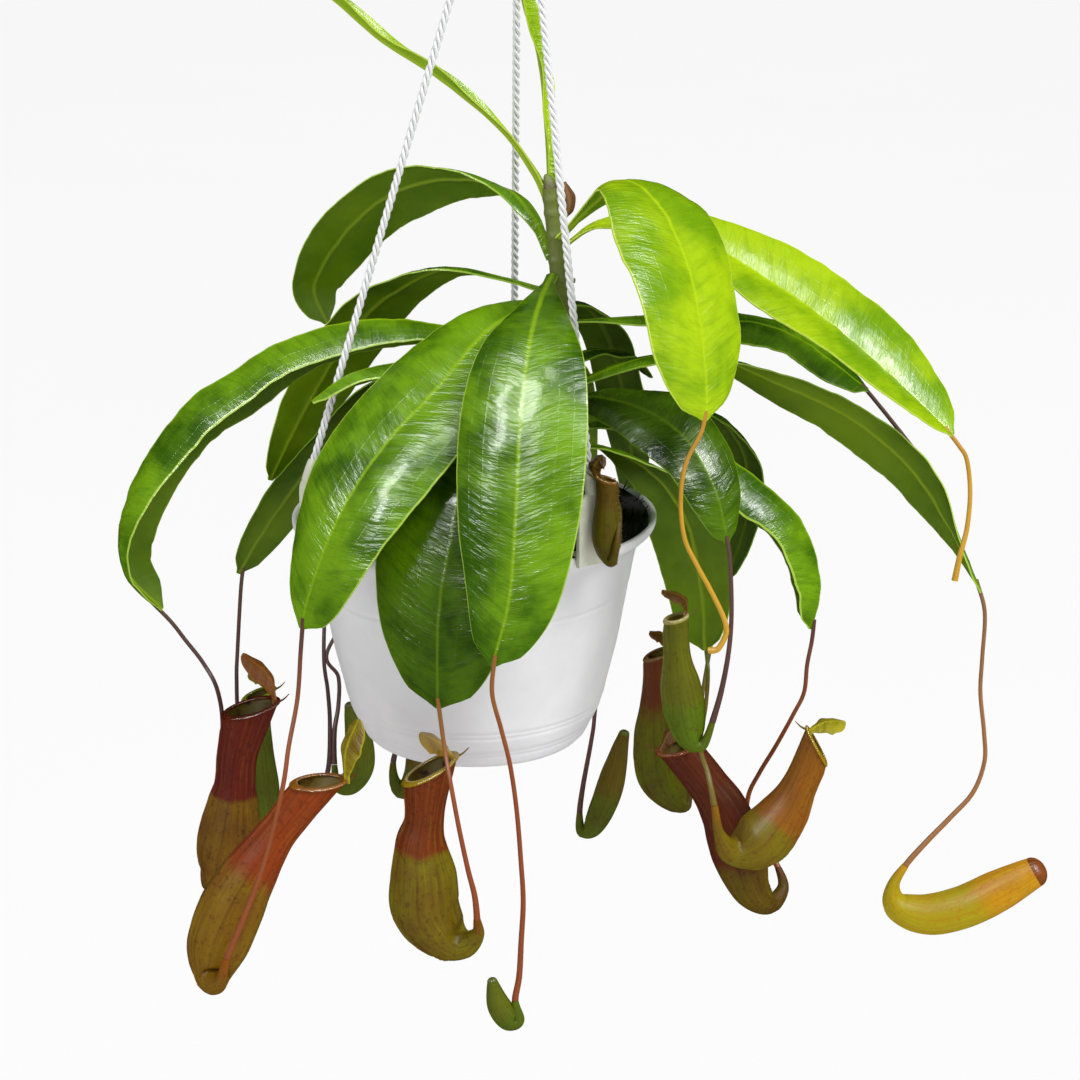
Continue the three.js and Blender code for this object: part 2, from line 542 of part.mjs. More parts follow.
/** A cord clip: a round-topped plate, which laps over the rim. Modelled at +X. */
function rimClip() {
  const outline = new THREE.Shape();
  const half = clip.width / 2;
  outline.moveTo(-half, -clip.below);
  outline.lineTo(half, -clip.below);
  outline.lineTo(half, clip.above - half);
  outline.absarc(0, clip.above - half, half, 0, Math.PI);
  outline.closePath();
  const plate = new THREE.ExtrudeGeometry(outline,
    { depth: clip.thickness, bevelEnabled: false, curveSegments: 12 });
  plate.rotateX(Math.PI / 2).rotateZ(Math.PI / 2).translate(pot.rim + GAP, 0, 0);
  const lap = new THREE.BoxGeometry(clip.lap + 1, clip.width * 0.8, 2)
    .translate(pot.rim + GAP + 1 - (clip.lap + 1) / 2, 0, GAP + 1);
  return geometryOf(solid(plate).add(solid(lap)));
}

/** A straight stretch of cord from the knot to its clip. */
function taut(path) {
  const section = new THREE.Shape();
  section.absarc(0, 0, cord.diameter / 2, 0, 2 * Math.PI);
  return new THREE.ExtrudeGeometry(section, {
    steps: cord.steps, extrudePath: new THREE.LineCurve3(vec(path[0]), vec(path[1])),
    curveSegments: cord.sides / 4, bevelEnabled: false,
  });
}

/** The hook: a shank out of the knot, and a bow whose inside bears at the origin. */
function hookBody() {
  const bow = 9;
  const points = [[0, 0, -KNOT_DROP + knotRadius + GAP], [0, 0, -KNOT_DROP + 22], [2, 0, -22],
    [bow + hookRod, 0, -bow], [bow * 0.72, 0, -bow * 0.2], [0, 0, hookRod], [-bow * 0.72, 0, -bow * 0.2],
    [-bow - hookRod, 0, -bow], [-bow - 1, 0, -bow - 7]];
  return outward(taperedTube(curveOf(points), 0, 1, 22, () => hookRod, 6));
}

// ---------------------------------------------------------------- assembly
const part = new THREE.Group();
const plant = new THREE.Group();
plant.position.set(-HOOK_REACH, 0, -KNOT_DROP - CORD_DROP);
part.add(plant);

function place(group, name, geometry, look) {
  const mesh = new THREE.Mesh(geometry, look);
  mesh.name = name;
  group.add(mesh);
  return mesh;
}

const stemCurve = curveOf(stemPath);
const stemRadiusAt = (s) => stemRadius.foot + (stemRadius.top - stemRadius.foot) * s;
const stemShape = taperedTube(stemCurve, 0, 1, 14, stemRadiusAt, 10);
const stemRoom = solid(taperedTube(stemCurve, 0, 1, 14, (s) => stemRadiusAt(s) + GAP, 10));

place(plant, "pot", potShell(), finishes.pot);
place(plant, "soil", soilPlug(solid(taperedTube(
  curveOf([[34, 6, -42 - GAP], ...stemPath.slice(1)]), 0, 1, 14, (s) => stemRadiusAt(s) + GAP, 10))),
finishes.soil);
place(plant, "stem", outward(stemShape), finishes.stem);

for (const [name, spec] of Object.entries(leaves)) {
  place(plant, name, leaf(name, spec, stemRoom), finishes[spec.finish ?? "leaf"]);
}
for (const [name, spec] of Object.entries(pitchers)) {
  place(plant, name, pitcher(spec, stemRoom), finishes[spec.finish]);
}
const bractSpec = { rib: bractPath, half: 4, belly: 0.5, blunt: 0.6, wave: 0, foot: 2 };
place(plant, "bract", geometryOf(solid(blade(bractSpec, 4)).subtract(stemRoom)), finishes.bract);

for (const [side, angle] of Object.entries(clipAngles)) {
  const turn = THREE.MathUtils.degToRad(angle);
  const mesh = place(plant, `clip_${side}`, rimClip(), finishes.clip);
  mesh.rotation.z = turn;
  const reach = pot.rim + GAP + clip.thickness / 2;
  const foot = new THREE.Vector3(reach * Math.cos(turn), reach * Math.sin(turn), clip.above);
  const knot = new THREE.Vector3(HOOK_REACH, 0, CORD_DROP);
  const run = foot.clone().sub(knot);
  const span = run.length();
  run.normalize();
  const from = knot.clone().addScaledVector(run, knotRadius + GAP);
  const to = knot.clone().addScaledVector(run, span - cord.diameter / 2 - GAP);
  place(plant, `cord_${side}`, taut([from.toArray(), to.toArray()]), finishes.cord);
}

const knotBall = new THREE.SphereGeometry(knotRadius, 12, 8).translate(0, 0, -KNOT_DROP);
place(part, "knot", outward(mergeVertices(knotBall.deleteAttribute("normal").deleteAttribute("uv"))),
  finishes.cord);
place(part, "hook", hookBody(), finishes.clip);

export default part;
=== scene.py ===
"""A climbing pitcher plant in a white hanging pot, dressed for a studio picture.

Sizes are millimetres in the code and metres in the meshes. Plant coordinates start at the
middle of the pot's rim, with +X to the right, -Y towards the viewer and +Z up.
"""
from __future__ import annotations

import functools
import logging
import math
import random
from dataclasses import dataclass, field
from enum import Enum
from typing import Callable, Sequence

import bmesh
import bpy
from mathutils import Matrix, Vector, noise

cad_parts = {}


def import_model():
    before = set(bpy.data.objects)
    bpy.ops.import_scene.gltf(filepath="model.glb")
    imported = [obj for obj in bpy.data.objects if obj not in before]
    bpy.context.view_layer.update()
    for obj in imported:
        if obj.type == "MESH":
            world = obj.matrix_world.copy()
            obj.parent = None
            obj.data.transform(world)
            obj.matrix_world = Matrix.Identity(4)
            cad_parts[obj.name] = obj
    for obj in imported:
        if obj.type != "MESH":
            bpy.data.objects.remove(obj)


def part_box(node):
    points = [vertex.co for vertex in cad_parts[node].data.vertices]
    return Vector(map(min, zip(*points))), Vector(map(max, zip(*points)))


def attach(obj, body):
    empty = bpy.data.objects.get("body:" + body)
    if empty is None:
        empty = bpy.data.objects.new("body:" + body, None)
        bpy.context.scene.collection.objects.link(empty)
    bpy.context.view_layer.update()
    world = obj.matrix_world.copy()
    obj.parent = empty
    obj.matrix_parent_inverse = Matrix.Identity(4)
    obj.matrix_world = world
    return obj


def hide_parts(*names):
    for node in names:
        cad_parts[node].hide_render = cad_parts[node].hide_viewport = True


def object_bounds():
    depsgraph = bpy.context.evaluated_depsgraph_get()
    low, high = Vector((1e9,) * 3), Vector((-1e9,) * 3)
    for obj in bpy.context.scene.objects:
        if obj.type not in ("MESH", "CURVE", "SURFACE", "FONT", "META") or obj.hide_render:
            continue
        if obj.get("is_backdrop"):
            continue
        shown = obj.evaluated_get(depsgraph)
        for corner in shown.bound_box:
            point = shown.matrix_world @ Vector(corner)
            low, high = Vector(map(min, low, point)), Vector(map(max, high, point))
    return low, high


LOG = logging.getLogger("pitcher_plant")
MM = 0.001
DECIMETRE = 100  # in millimetres
GAP = 0.3  # mm between a piece and what it grows from or rests on
WELD = 1e-6  # metres between points that are one
REAR = Vector((0.0, 1.0, 0.0))
Point = Sequence[float]
Colour = tuple[float, float, float]


# ------------------------------------------------------------------ colour and shader maths
def srgb(red: int, green: int, blue: int) -> Colour:
    """A display colour as a linear one.

    Args:
        red: The red channel, 0 to 255.
        green: The green channel.
        blue: The blue channel.

    Returns:
        The three linear channels, 0 to 1.
    """
    def linear(channel: int) -> float:
        """One channel, linear."""
        share = channel / 255
        return share / 12.92 if share <= 0.04045 else ((share + 0.055) / 1.055) ** 2.4
    return linear(red), linear(green), linear(blue)


class Value:
    """One shader socket that takes part in Python arithmetic."""

    def __init__(self, shader: Shader, socket: bpy.types.NodeSocket) -> None:
        """Keeps the socket and the shader that it belongs to."""
        self.shader = shader
        self.socket = socket

    def _math(self, operation: str, first: object, second: object = 0.0) -> Value:
        """Adds one Math node."""
        return self.shader.node("ShaderNodeMath", {"operation": operation}, {0: first, 1: second})

    def __add__(self, other: object) -> Value:
        """Sum."""
        return self._math("ADD", self, other)

    def __radd__(self, other: object) -> Value:
        """Reflected sum."""
        return self._math("ADD", other, self)

    def __sub__(self, other: object) -> Value:
        """Difference."""
        return self._math("SUBTRACT", self, other)

    def __rsub__(self, other: object) -> Value:
        """Reflected difference."""
        return self._math("SUBTRACT", other, self)

    def __mul__(self, other: object) -> Value:
        """Product."""
        return self._math("MULTIPLY", self, other)

    def __rmul__(self, other: object) -> Value:
        """Reflected product."""
        return self._math("MULTIPLY", other, self)

    def __abs__(self) -> Value:
        """Size without its sign."""
        return self._math("ABSOLUTE", self)

    def sine(self) -> Value:
        """Sine of an angle in radians."""
        return self._math("SINE", self)

    def rise(self, low: float, high: float) -> Value:
        """0 below low and 1 above high, eased between."""
        return self.shader.node("ShaderNodeMapRange", {"interpolation_type": "SMOOTHSTEP"},
                                {"Value": self, "From Min": low, "From Max": high})


class Shader:
    """A procedural material while its nodes are being laid."""

    def __init__(self, name: str) -> None:
        """Starts an empty material of that name."""
        self.material = bpy.data.materials.new(name)
        self.material.use_nodes = True
        self.tree = self.material.node_tree
        self.tree.nodes.clear()

    def node(self, kind: str, settings: dict | None = None, inputs: dict | None = None,
             output: int | str = 0) -> Value:
        """Adds one node.

        Args:
            kind: The node's type name.
            settings: Its properties, which are set first.
            inputs: Values or links of its sockets, by name or number.
            output: The socket to hand back.

        Returns:
            The chosen output, ready for arithmetic.
        """
        return Value(self, self._add(kind, settings, inputs).outputs[output])

    def _add(self, kind: str, settings: dict | None, inputs: dict | None) -> bpy.types.ShaderNode:
        """Adds one node and hands back the node itself.

        Args:
            kind: The node's type name.
            settings: Its properties.
            inputs: Values or links of its sockets.

        Returns:
            The new node.
        """
        made = self.tree.nodes.new(kind)
        for key, value in (settings or {}).items():
            setattr(made, key, value)
        for key, value in (inputs or {}).items():
            if isinstance(value, Value):
                self.tree.links.new(value.socket, made.inputs[key])
            elif isinstance(value, tuple) and made.inputs[key].type == "RGBA":
                made.inputs[key].default_value = (*value[:3], 1.0)
            else:
                made.inputs[key].default_value = value
        return made

    def place(self) -> Value:
        """The point on the surface, in metres."""
        return self.node("ShaderNodeTexCoord", output="Object")

    def layer(self, name: str) -> tuple[Value, Value]:
        """The coordinates on a layer of the mesh.

        Args:
            name: The layer.

        Returns:
            The one across or around the piece, and the one along it.
        """
        uv = self.node("ShaderNodeUVMap", {"uv_map": name})
        split = self._add("ShaderNodeSeparateXYZ", None, {"Vector": uv})
        return Value(self, split.outputs["X"]), Value(self, split.outputs["Y"])

    def join(self, x: object, y: object, z: object = 0.0) -> Value:
        """Three numbers as one vector."""
        return self.node("ShaderNodeCombineXYZ", inputs={0: x, 1: y, 2: z})

    def noise(self, at: Value, scale: float, detail: float = 3.0, roughness: float = 0.55) -> Value:
        """Soft cloudy noise from 0 to 1."""
        return self.node("ShaderNodeTexNoise", inputs={
            "Vector": at, "Scale": scale, "Detail": detail, "Roughness": roughness})

    def mix(self, share: object, first: object, second: object) -> Value:
        """One colour turning into another as share goes from 0 to 1."""
        return self.node("ShaderNodeMix", {"data_type": "RGBA"}, {0: share, 6: first, 7: second}, 2)

    def bump(self, height: Value, strength: float, depth: float) -> Value:
        """A bumped normal.

        Args:
            height: The relief, 0 to 1.
            strength: How strongly it shows.
            depth: What a height of 1 stands for, in millimetres.

        Returns:
            The normal.
        """
        return self.node("ShaderNodeBump", inputs={
            "Strength": strength, "Distance": depth * MM, "Height": height})

    def finish(self, **sockets: object) -> bpy.types.Material:
        """Ends the material in a principled surface.

        Args:
            sockets: The surface's sockets, with underscores for the spaces in their names.

        Returns:
            The material.
        """
        inputs = {key.replace("_", " "): value for key, value in sockets.items()}
        surface = self.node("ShaderNodeBsdfPrincipled", inputs=inputs)
        self._add("ShaderNodeOutputMaterial", None, {"Surface": surface})
        return self.material


def tinted(colour: Colour, factor: float) -> Colour:
    """A colour made darker or brighter by a factor."""
    return tuple(min(1.0, factor * channel) for channel in colour)


# ------------------------------------------------------------------ finishes
class Tone(Enum):
    """How old and how well lit a leaf is."""

    MATURE = "mature"
    # painted shade: the shaded tone is a darker copy of the mature greens, for leaves that lie in shadow
    SHADED = "shaded"
    YOUNG = "young"
    # painted light: the crest tone is a lighter copy of the mature greens, for the leaf in full light at the
    # top of the plant
    WELL_LIT = "crest"


@dataclass(frozen=True)
class BladeFace:
    """The glossy upper face of a blade: corrugated flesh, pale rib and margin."""

    name: str
    light: Colour
    deep: Colour
    rib: Colour
    margin: Colour
    roughness: float = 0.2
    coat: float = 0.15

    PATCHES = 26.0  # per metre
    WRINKLES = (7.0, 78.0)  # per decimetre across and along the blade
    FOLDS = (5.0, 27.0)
    LEAN = 14.0  # how steeply wrinkles and folds run from the rib towards the tip
    RIB = (0.004, 0.021)  # decimetres from the middle: full colour, and none
    RIB_TAPER = 0.009
    MARGIN = (0.972, 0.994)  # shares of the half's width
    NERVES = (0.3, 0.55, 0.78)
    NERVE_EDGE = (0.004, 0.018)
    DEPTH = 1.1  # mm

    def make(self) -> bpy.types.Material:
        """Builds the finish.

        Returns:
            The material.
        """
        s = Shader(self.name)
        across, along = s.layer("Share")
        wide, far = s.layer("Span")
        side = abs(across * 2.0 - 1.0)
        cloud = s.noise(s.place(), self.PATCHES, 4.0)
        lean = abs(wide) * self.LEAN
        wrinkles = s.noise(s.join(wide * self.WRINKLES[0], far * self.WRINKLES[1] + lean), 1.0, 3.0, 0.6)
        folds = s.noise(s.join(wide * self.FOLDS[0], far * self.FOLDS[1] + lean, 4.0), 1.0, 3.0, 0.5)
        flesh = s.mix(cloud.rise(0.34, 0.66), self.deep, self.light)
        flesh = s.mix(wrinkles.rise(0.5, 0.8) * 0.3, flesh, self.light)
        flesh = s.mix(folds.rise(0.5, 0.72) * 0.35, flesh, self.deep)
        nerves = self._nerves(side)
        flesh = s.mix(nerves * 0.05, flesh, self.rib)
        rib = 1.0 - (abs(wide) + along * self.RIB_TAPER).rise(*self.RIB)
        flesh = s.mix(rib * 0.75, flesh, self.rib)
        flesh = s.mix(side.rise(*self.MARGIN) * 0.85, flesh, self.margin)
        relief = wrinkles * 0.45 + folds * 1.2 + nerves * 0.05
        return s.finish(
            Base_Color=flesh, Roughness=self.roughness + cloud * 0.12, Specular_IOR_Level=0.35,
            Coat_Weight=self.coat, Coat_Roughness=0.12, Normal=s.bump(relief, 1.0, self.DEPTH))

    def _nerves(self, side: Value) -> Value:
        """Long nerves that follow the margin in each half.

        Args:
            side: The share of the half's width.

        Returns:
            1 along a nerve and 0 beside it.
        """
        first, *others = (1.0 - abs(side - place).rise(*self.NERVE_EDGE) for place in self.NERVES)
        return sum(others, first)


@dataclass(frozen=True)
class BladeBack:
    """The duller underside of a blade, with a raised rib and pinnate veins."""

    name: str
    light: Colour
    deep: Colour
    rib: Colour
    margin: Colour

    PATCHES = 22.0  # per metre
    VEINS = (4.0, 40.0)  # per decimetre across and along the blade
    LEAN = 26.0
    RIB = (0.01, 0.024)  # decimetres from the middle
    RIB_TAPER = 0.008
    MARGIN = (0.97, 0.994)
    DEPTH = 0.5  # mm

    def make(self) -> bpy.types.Material:
        """Builds the finish.

        Returns:
            The material.
        """
        s = Shader(self.name)
        across, along = s.layer("Share")
        wide, far = s.layer("Span")
        side = abs(across * 2.0 - 1.0)
        cloud = s.noise(s.place(), self.PATCHES, 4.0)
        lean = abs(wide) * self.LEAN
        veins = s.noise(s.join(wide * self.VEINS[0], far * self.VEINS[1] - lean), 1.0, 4.0, 0.6)
        flesh = s.mix(cloud.rise(0.3, 0.7), self.deep, self.light)
        flesh = s.mix(veins.rise(0.5, 0.85) * 0.4, flesh, self.light)
        rib = 1.0 - (abs(wide) + along * self.RIB_TAPER).rise(*self.RIB)
        flesh = s.mix(rib * 0.8, flesh, self.rib)
        flesh = s.mix(side.rise(*self.MARGIN) * 0.7, flesh, self.margin)
        return s.finish(
            Base_Color=flesh, Roughness=0.42 + cloud * 0.15, Specular_IOR_Level=0.2,
            Normal=s.bump(veins * 0.6 + cloud * 0.3, 0.45, self.DEPTH))


@dataclass(frozen=True)
class TendrilSkin:
    """A tendril's skin, which turns from one colour at the leaf to another at the pitcher."""

    name: str
    near: Colour
    far: Colour

    MOTTLE = 60.0  # per metre
    STREAKS = (60.0, 14.0)  # per decimetre round and along
    DEPTH = 0.35  # mm

    def make(self) -> bpy.types.Material:
        """Builds the finish.

        Returns:
            The material.
        """
        s = Shader(self.name)
        _, along = s.layer("Share")
        around, far = s.layer("Span")
        cloud = s.noise(s.place(), self.MOTTLE, 4.0)
        skin = s.mix((along + cloud * 0.5 - 0.25).rise(0.0, 0.45), self.near, self.far)
        streaks = s.noise(s.join(around * self.STREAKS[0], far * self.STREAKS[1]), 1.0, 4.0, 0.65)
        skin = s.mix(streaks.rise(0.5, 0.75) * 0.4, skin, tinted(self.far, 0.55))
        return s.finish(
            Base_Color=skin, Roughness=0.38 + cloud * 0.2,
            Normal=s.bump(streaks * 0.6 + cloud * 0.4, 0.5, self.DEPTH))


@dataclass(frozen=True)
class CupSkin:
    """A pitcher's skin: flushed above a soft line, olive below, freckled and faintly veined."""

    name: str
    neck: Colour
    bulb: Colour
    freckle: Colour
    line: float
    soft: float

    BLOTCHES = 48.0  # per metre
    FRECKLES = 420.0
    STREAKS = (46.0, 3.0)  # round the cup, and along it
    FOOT = (0.02, 0.12)  # shares of the length over which the tendril's colour fades
    DEPTH = 0.5  # mm

    def make(self) -> bpy.types.Material:
        """Builds the finish.

        Returns:
            The material.
        """
        s = Shader(self.name)
        around, along = s.layer("Share")
        cloud = s.noise(s.place(), self.BLOTCHES, 5.0)
        fine = s.noise(s.place(), self.FRECKLES, 3.0, 0.65)
        skin = s.mix((along + cloud * 0.1 - 0.05).rise(self.line - self.soft, self.line + self.soft),
                     self.bulb, self.neck)
        skin = s.mix(cloud.rise(0.35, 0.75) * 0.5, skin, tinted(self.neck, 0.55))
        ribs = s.noise(s.join(around * self.STREAKS[0], along * self.STREAKS[1]), 1.0, 4.0, 0.6)
        skin = s.mix(ribs.rise(0.48, 0.7) * 0.42, skin, self.freckle)
        skin = s.mix((1.0 - ribs.rise(0.3, 0.46)) * 0.25, skin, tinted(self.bulb, 1.9))
        skin = s.mix(fine.rise(0.54, 0.68) * 0.5, skin, self.freckle)
        foot = 1.0 - along.rise(*self.FOOT)
        skin = s.mix(foot * 0.6, skin, self.neck)
        relief = ribs * 0.6 + fine * 0.45 + cloud * 0.3
        return s.finish(
            Base_Color=skin, Roughness=0.34 + cloud * 0.2, Specular_IOR_Level=0.2,
            Normal=s.bump(relief, 0.6, self.DEPTH))


@dataclass(frozen=True)
class CupLining:
    """The waxy inside of a pitcher."""

    name: str
    wax: Colour
    blotch: Colour

    BLOTCHES = 130.0  # per metre

    def make(self) -> bpy.types.Material:
        """Builds the finish.

        Returns:
            The material.
        """
        s = Shader(self.name)
        cloud = s.noise(s.place(), self.BLOTCHES, 4.0, 0.6)
        skin = s.mix(cloud.rise(0.5, 0.66), self.wax, self.blotch)
        return s.finish(Base_Color=skin, Roughness=0.5, Normal=s.bump(cloud, 0.3, 0.3))


@dataclass(frozen=True)
class RibbedRim:
    """The wet ribbed collar round a pitcher's mouth."""

    name: str
    pale: Colour
    dark: Colour

    RIBS = 84
    MOTTLE = 160.0  # per metre

    def make(self) -> bpy.types.Material:
        """Builds the finish.

        Returns:
            The material.
        """
        s = Shader(self.name)
        around, _ = s.layer("Share")
        cloud = s.noise(s.place(), self.MOTTLE, 3.0)
        stripe = (around * (2 * math.pi * self.RIBS)).sine() * 0.5 + 0.5
        skin = s.mix(stripe.rise(0.25, 0.85) * 0.5 + cloud.rise(0.45, 0.7) * 0.4, self.pale, self.dark)
        return s.finish(
            Base_Color=skin, Roughness=0.2, Coat_Weight=0.5, Coat_Roughness=0.08,
            Normal=s.bump(stripe, 0.5, 0.25))


@dataclass(frozen=True)
class PotPlastic:
    """Thin white plastic, a little cloudy, with faint flow marks and splashes of soil."""

    name: str = "white_pot_plastic"
    white: Colour = srgb(246, 246, 247)
    shade: Colour = srgb(232, 232, 235)
    dirt: Colour = srgb(150, 142, 122)

    CLOUDS = 14.0  # per metre
    SPLASHES = 95.0
    FLOW = (30.0, 4.0)  # round the pot, and up it

    def make(self) -> bpy.types.Material:
        """Builds the finish.

        Returns:
            The material.
        """
        s = Shader(self.name)
        around, up = s.layer("Share")
        cloud = s.noise(s.place(), self.CLOUDS, 5.0, 0.6)
        flow = s.noise(s.join(around * self.FLOW[0], up * self.FLOW[1]), 1.0, 4.0)
        grime = s.noise(s.place(), self.SPLASHES, 5.0, 0.7)
        skin = s.mix(cloud.rise(0.3, 0.7), self.white, self.shade)
        skin = s.mix(grime.rise(0.68, 0.8) * 0.3, skin, self.dirt)
        return s.finish(
            Base_Color=skin, Roughness=0.36 + flow * 0.14, Subsurface_Weight=0.12,
            Subsurface_Radius=(0.004, 0.004, 0.0035), Subsurface_Scale=1.0,
            Normal=s.bump(flow * 0.6 + grime * 0.15, 0.22, 0.5))


@dataclass(frozen=True)
class PottingMix:
    """Dark damp bark, moss and grit."""

    name: str
    dark: Colour
    pale: Colour

    GRAINS = 700.0  # per metre
    LUMPS = 120.0

    def make(self) -> bpy.types.Material:
        """Builds the finish.

        Returns:
            The material.
        """
        s = Shader(self.name)
        grain = s.noise(s.place(), self.GRAINS, 5.0, 0.7)
        lumps = s.noise(s.place(), self.LUMPS, 3.0)
        skin = s.mix(grain.rise(0.45, 0.75) * 0.7 + lumps.rise(0.55, 0.8) * 0.3, self.dark, self.pale)
        return s.finish(
            Base_Color=skin, Roughness=0.7 + grain * 0.25, Normal=s.bump(grain + lumps, 0.8, 1.2))


@dataclass(frozen=True)
class StrandFibre:
    """White twisted strands: fine fibres that run along each strand, and painted shade in the grooves
    between the strands.
    """

    name: str = "twisted_white_fibre"
    white: Colour = srgb(250, 250, 250)
    shade: Colour = srgb(228, 228, 232)
    # painted shade: the darker colour laid in the grooves between the strands
    hollow: Colour = srgb(206, 208, 214)

    FIBRES = (26.0, 16.0)  # round a strand, and per decimetre along it
    LAY = 9.0  # how far the fibres wind round the strand
    # painted shade reaches this far out from the cord's middle, into each strand
    GROOVE = (0.002, 0.009)  # decimetres from the cord's middle

    def make(self) -> bpy.types.Material:
        """Builds the finish.

        Returns:
            The material.
        """
        s = Shader(self.name)
        around, _ = s.layer("Share")
        deep, far = s.layer("Span")
        wound = around * self.FIBRES[0] + far * self.LAY
        fibres = s.noise(s.join(wound, far * self.FIBRES[1]), 1.0, 3.0, 0.6)
        skin = s.mix(fibres.rise(0.35, 0.7) * 0.35, self.white, self.shade)
        # painted shade: each strand darkens where it turns into the grooves between the strands
        skin = s.mix(1.0 - deep.rise(*self.GROOVE), skin, self.hollow)
        return s.finish(
            Base_Color=skin, Roughness=0.62, Sheen_Weight=0.25, Sheen_Roughness=0.4,
            Normal=s.bump(fibres, 0.6, 0.2))


@dataclass(frozen=True)
class MouldedPlastic:
    """Smooth moulded plastic of the clips and the hook."""

    name: str
    colour: Colour
    shade: Colour

    CLOUDS = 70.0  # per metre
    GRAIN = 500.0

    def make(self) -> bpy.types.Material:
        """Builds the finish.

        Returns:
            The material.
        """
        s = Shader(self.name)
        cloud = s.noise(s.place(), self.CLOUDS, 4.0)
        skin = s.mix(cloud.rise(0.35, 0.75), self.colour, self.shade)
        return s.finish(
            Base_Color=skin, Roughness=0.34 + cloud * 0.12,
            Normal=s.bump(s.noise(s.place(), self.GRAIN), 0.15, 0.15))


@dataclass(frozen=True)
class StemBark:
    """A climbing stem: green, browning towards its foot, with lengthwise streaks."""

    name: str = "stem_bark"
    green: Colour = srgb(118, 132, 38)
    brown: Colour = srgb(96, 70, 40)
    streak: Colour = srgb(84, 52, 32)

    MOTTLE = 70.0  # per metre
    STREAKS = (40.0, 6.0)  # per decimetre round and along

    def make(self) -> bpy.types.Material:
        """Builds the finish.

        Returns:
            The material.
        """
        s = Shader(self.name)
        _, along = s.layer("Share")
        around, far = s.layer("Span")
        cloud = s.noise(s.place(), self.MOTTLE, 5.0)
        streaks = s.noise(s.join(around * self.STREAKS[0], far * self.STREAKS[1]), 1.0, 5.0, 0.65)
        skin = s.mix((along * 0.7 + cloud * 0.6 - 0.2).rise(0.1, 0.75), self.brown, self.green)
        skin = s.mix(streaks.rise(0.5, 0.8) * 0.4, skin, self.streak)
        return s.finish(
            Base_Color=skin, Roughness=0.48 + cloud * 0.2,
            Normal=s.bump(streaks + cloud * 0.4, 0.7, 0.7))


@dataclass(frozen=True)
class StudioPaper:
    """The pale floor."""

    name: str = "pale_floor"
    white: Colour = (0.93, 0.93, 0.93)

    def make(self) -> bpy.types.Material:
        """Builds the finish.

        Returns:
            The material.
        """
        s = Shader(self.name)
        cloud = s.noise(s.place(), 0.7, 2.0)
        skin = s.mix(cloud, self.white, tinted(self.white, 0.98))
        return s.finish(Base_Color=skin, Roughness=0.9)


GREENS = {  # light and deep flesh, rib and margin of the upper face, then of the underside
    Tone.MATURE: ((120, 170, 0), (56, 98, 0), (156, 196, 10), (186, 220, 84),
                  (114, 146, 0), (80, 112, 0), (144, 170, 20), (158, 188, 50)),
    # painted shade: darker greens for leaves that lie in shadow
    Tone.SHADED: ((84, 122, 0), (26, 58, 0), (112, 148, 14), (126, 164, 36),
                  (92, 118, 0), (58, 86, 0), (112, 138, 20), (124, 156, 44)),
    Tone.YOUNG: ((178, 214, 0), (118, 166, 0), (190, 224, 10), (214, 238, 90),
                 (148, 184, 4), (104, 148, 0), (170, 198, 40), (190, 214, 60)),
    # painted light: lighter greens for the leaf in full light at the top of the plant
    Tone.WELL_LIT: ((132, 182, 4), (92, 142, 2), (160, 202, 34), (186, 220, 84),
                 (120, 152, 2), (88, 122, 0), (146, 172, 30), (158, 188, 54)),
}
VINES = {  # a tendril's colour at the leaf and at the pitcher
    "rust": ((104, 62, 48), (152, 74, 18)),
    "orange": ((156, 102, 24), (152, 70, 20)),
    "brown": ((96, 68, 46), (98, 62, 54)),
    "amber": ((196, 138, 10), (212, 160, 14)),
    "green": ((90, 112, 14), (122, 104, 20)),
    "pink": ((140, 104, 62), (170, 112, 58)),
    "purple": ((88, 54, 50), (84, 50, 48)),
}
DRY = ((150, 104, 62), (104, 66, 36), (176, 136, 92), (128, 84, 50),
       (124, 84, 50), (92, 58, 34), (150, 110, 70), (110, 72, 44))


# ------------------------------------------------------------------ curves and meshes
@functools.lru_cache(maxsize=1)
def rim_middle() -> Vector:
    """The middle of the pot's rim, where plant coordinates start, in metres."""
    low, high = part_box("pot")
    return Vector(((low[0] + high[0]) / 2, (low[1] + high[1]) / 2, high[2]))


def vec(point: Point) -> Vector:
    """The first three numbers of a point as a vector."""
    return Vector(point[:3])


def keyed(keys: Sequence[float], t: float) -> float:
    """A value that eases through keys set at even steps.

    Args:
        keys: The values, from the first to the last step.
        t: How far along they are asked for, 0 to 1.

    Returns:
        The value there.
    """
    if len(keys) == 1:
        return keys[0]
    at = t * (len(keys) - 1)
    k = min(int(at), len(keys) - 2)
    w = at - k
    ease = w * w * (3 - 2 * w)
    return keys[k] * (1 - ease) + keys[k + 1] * ease


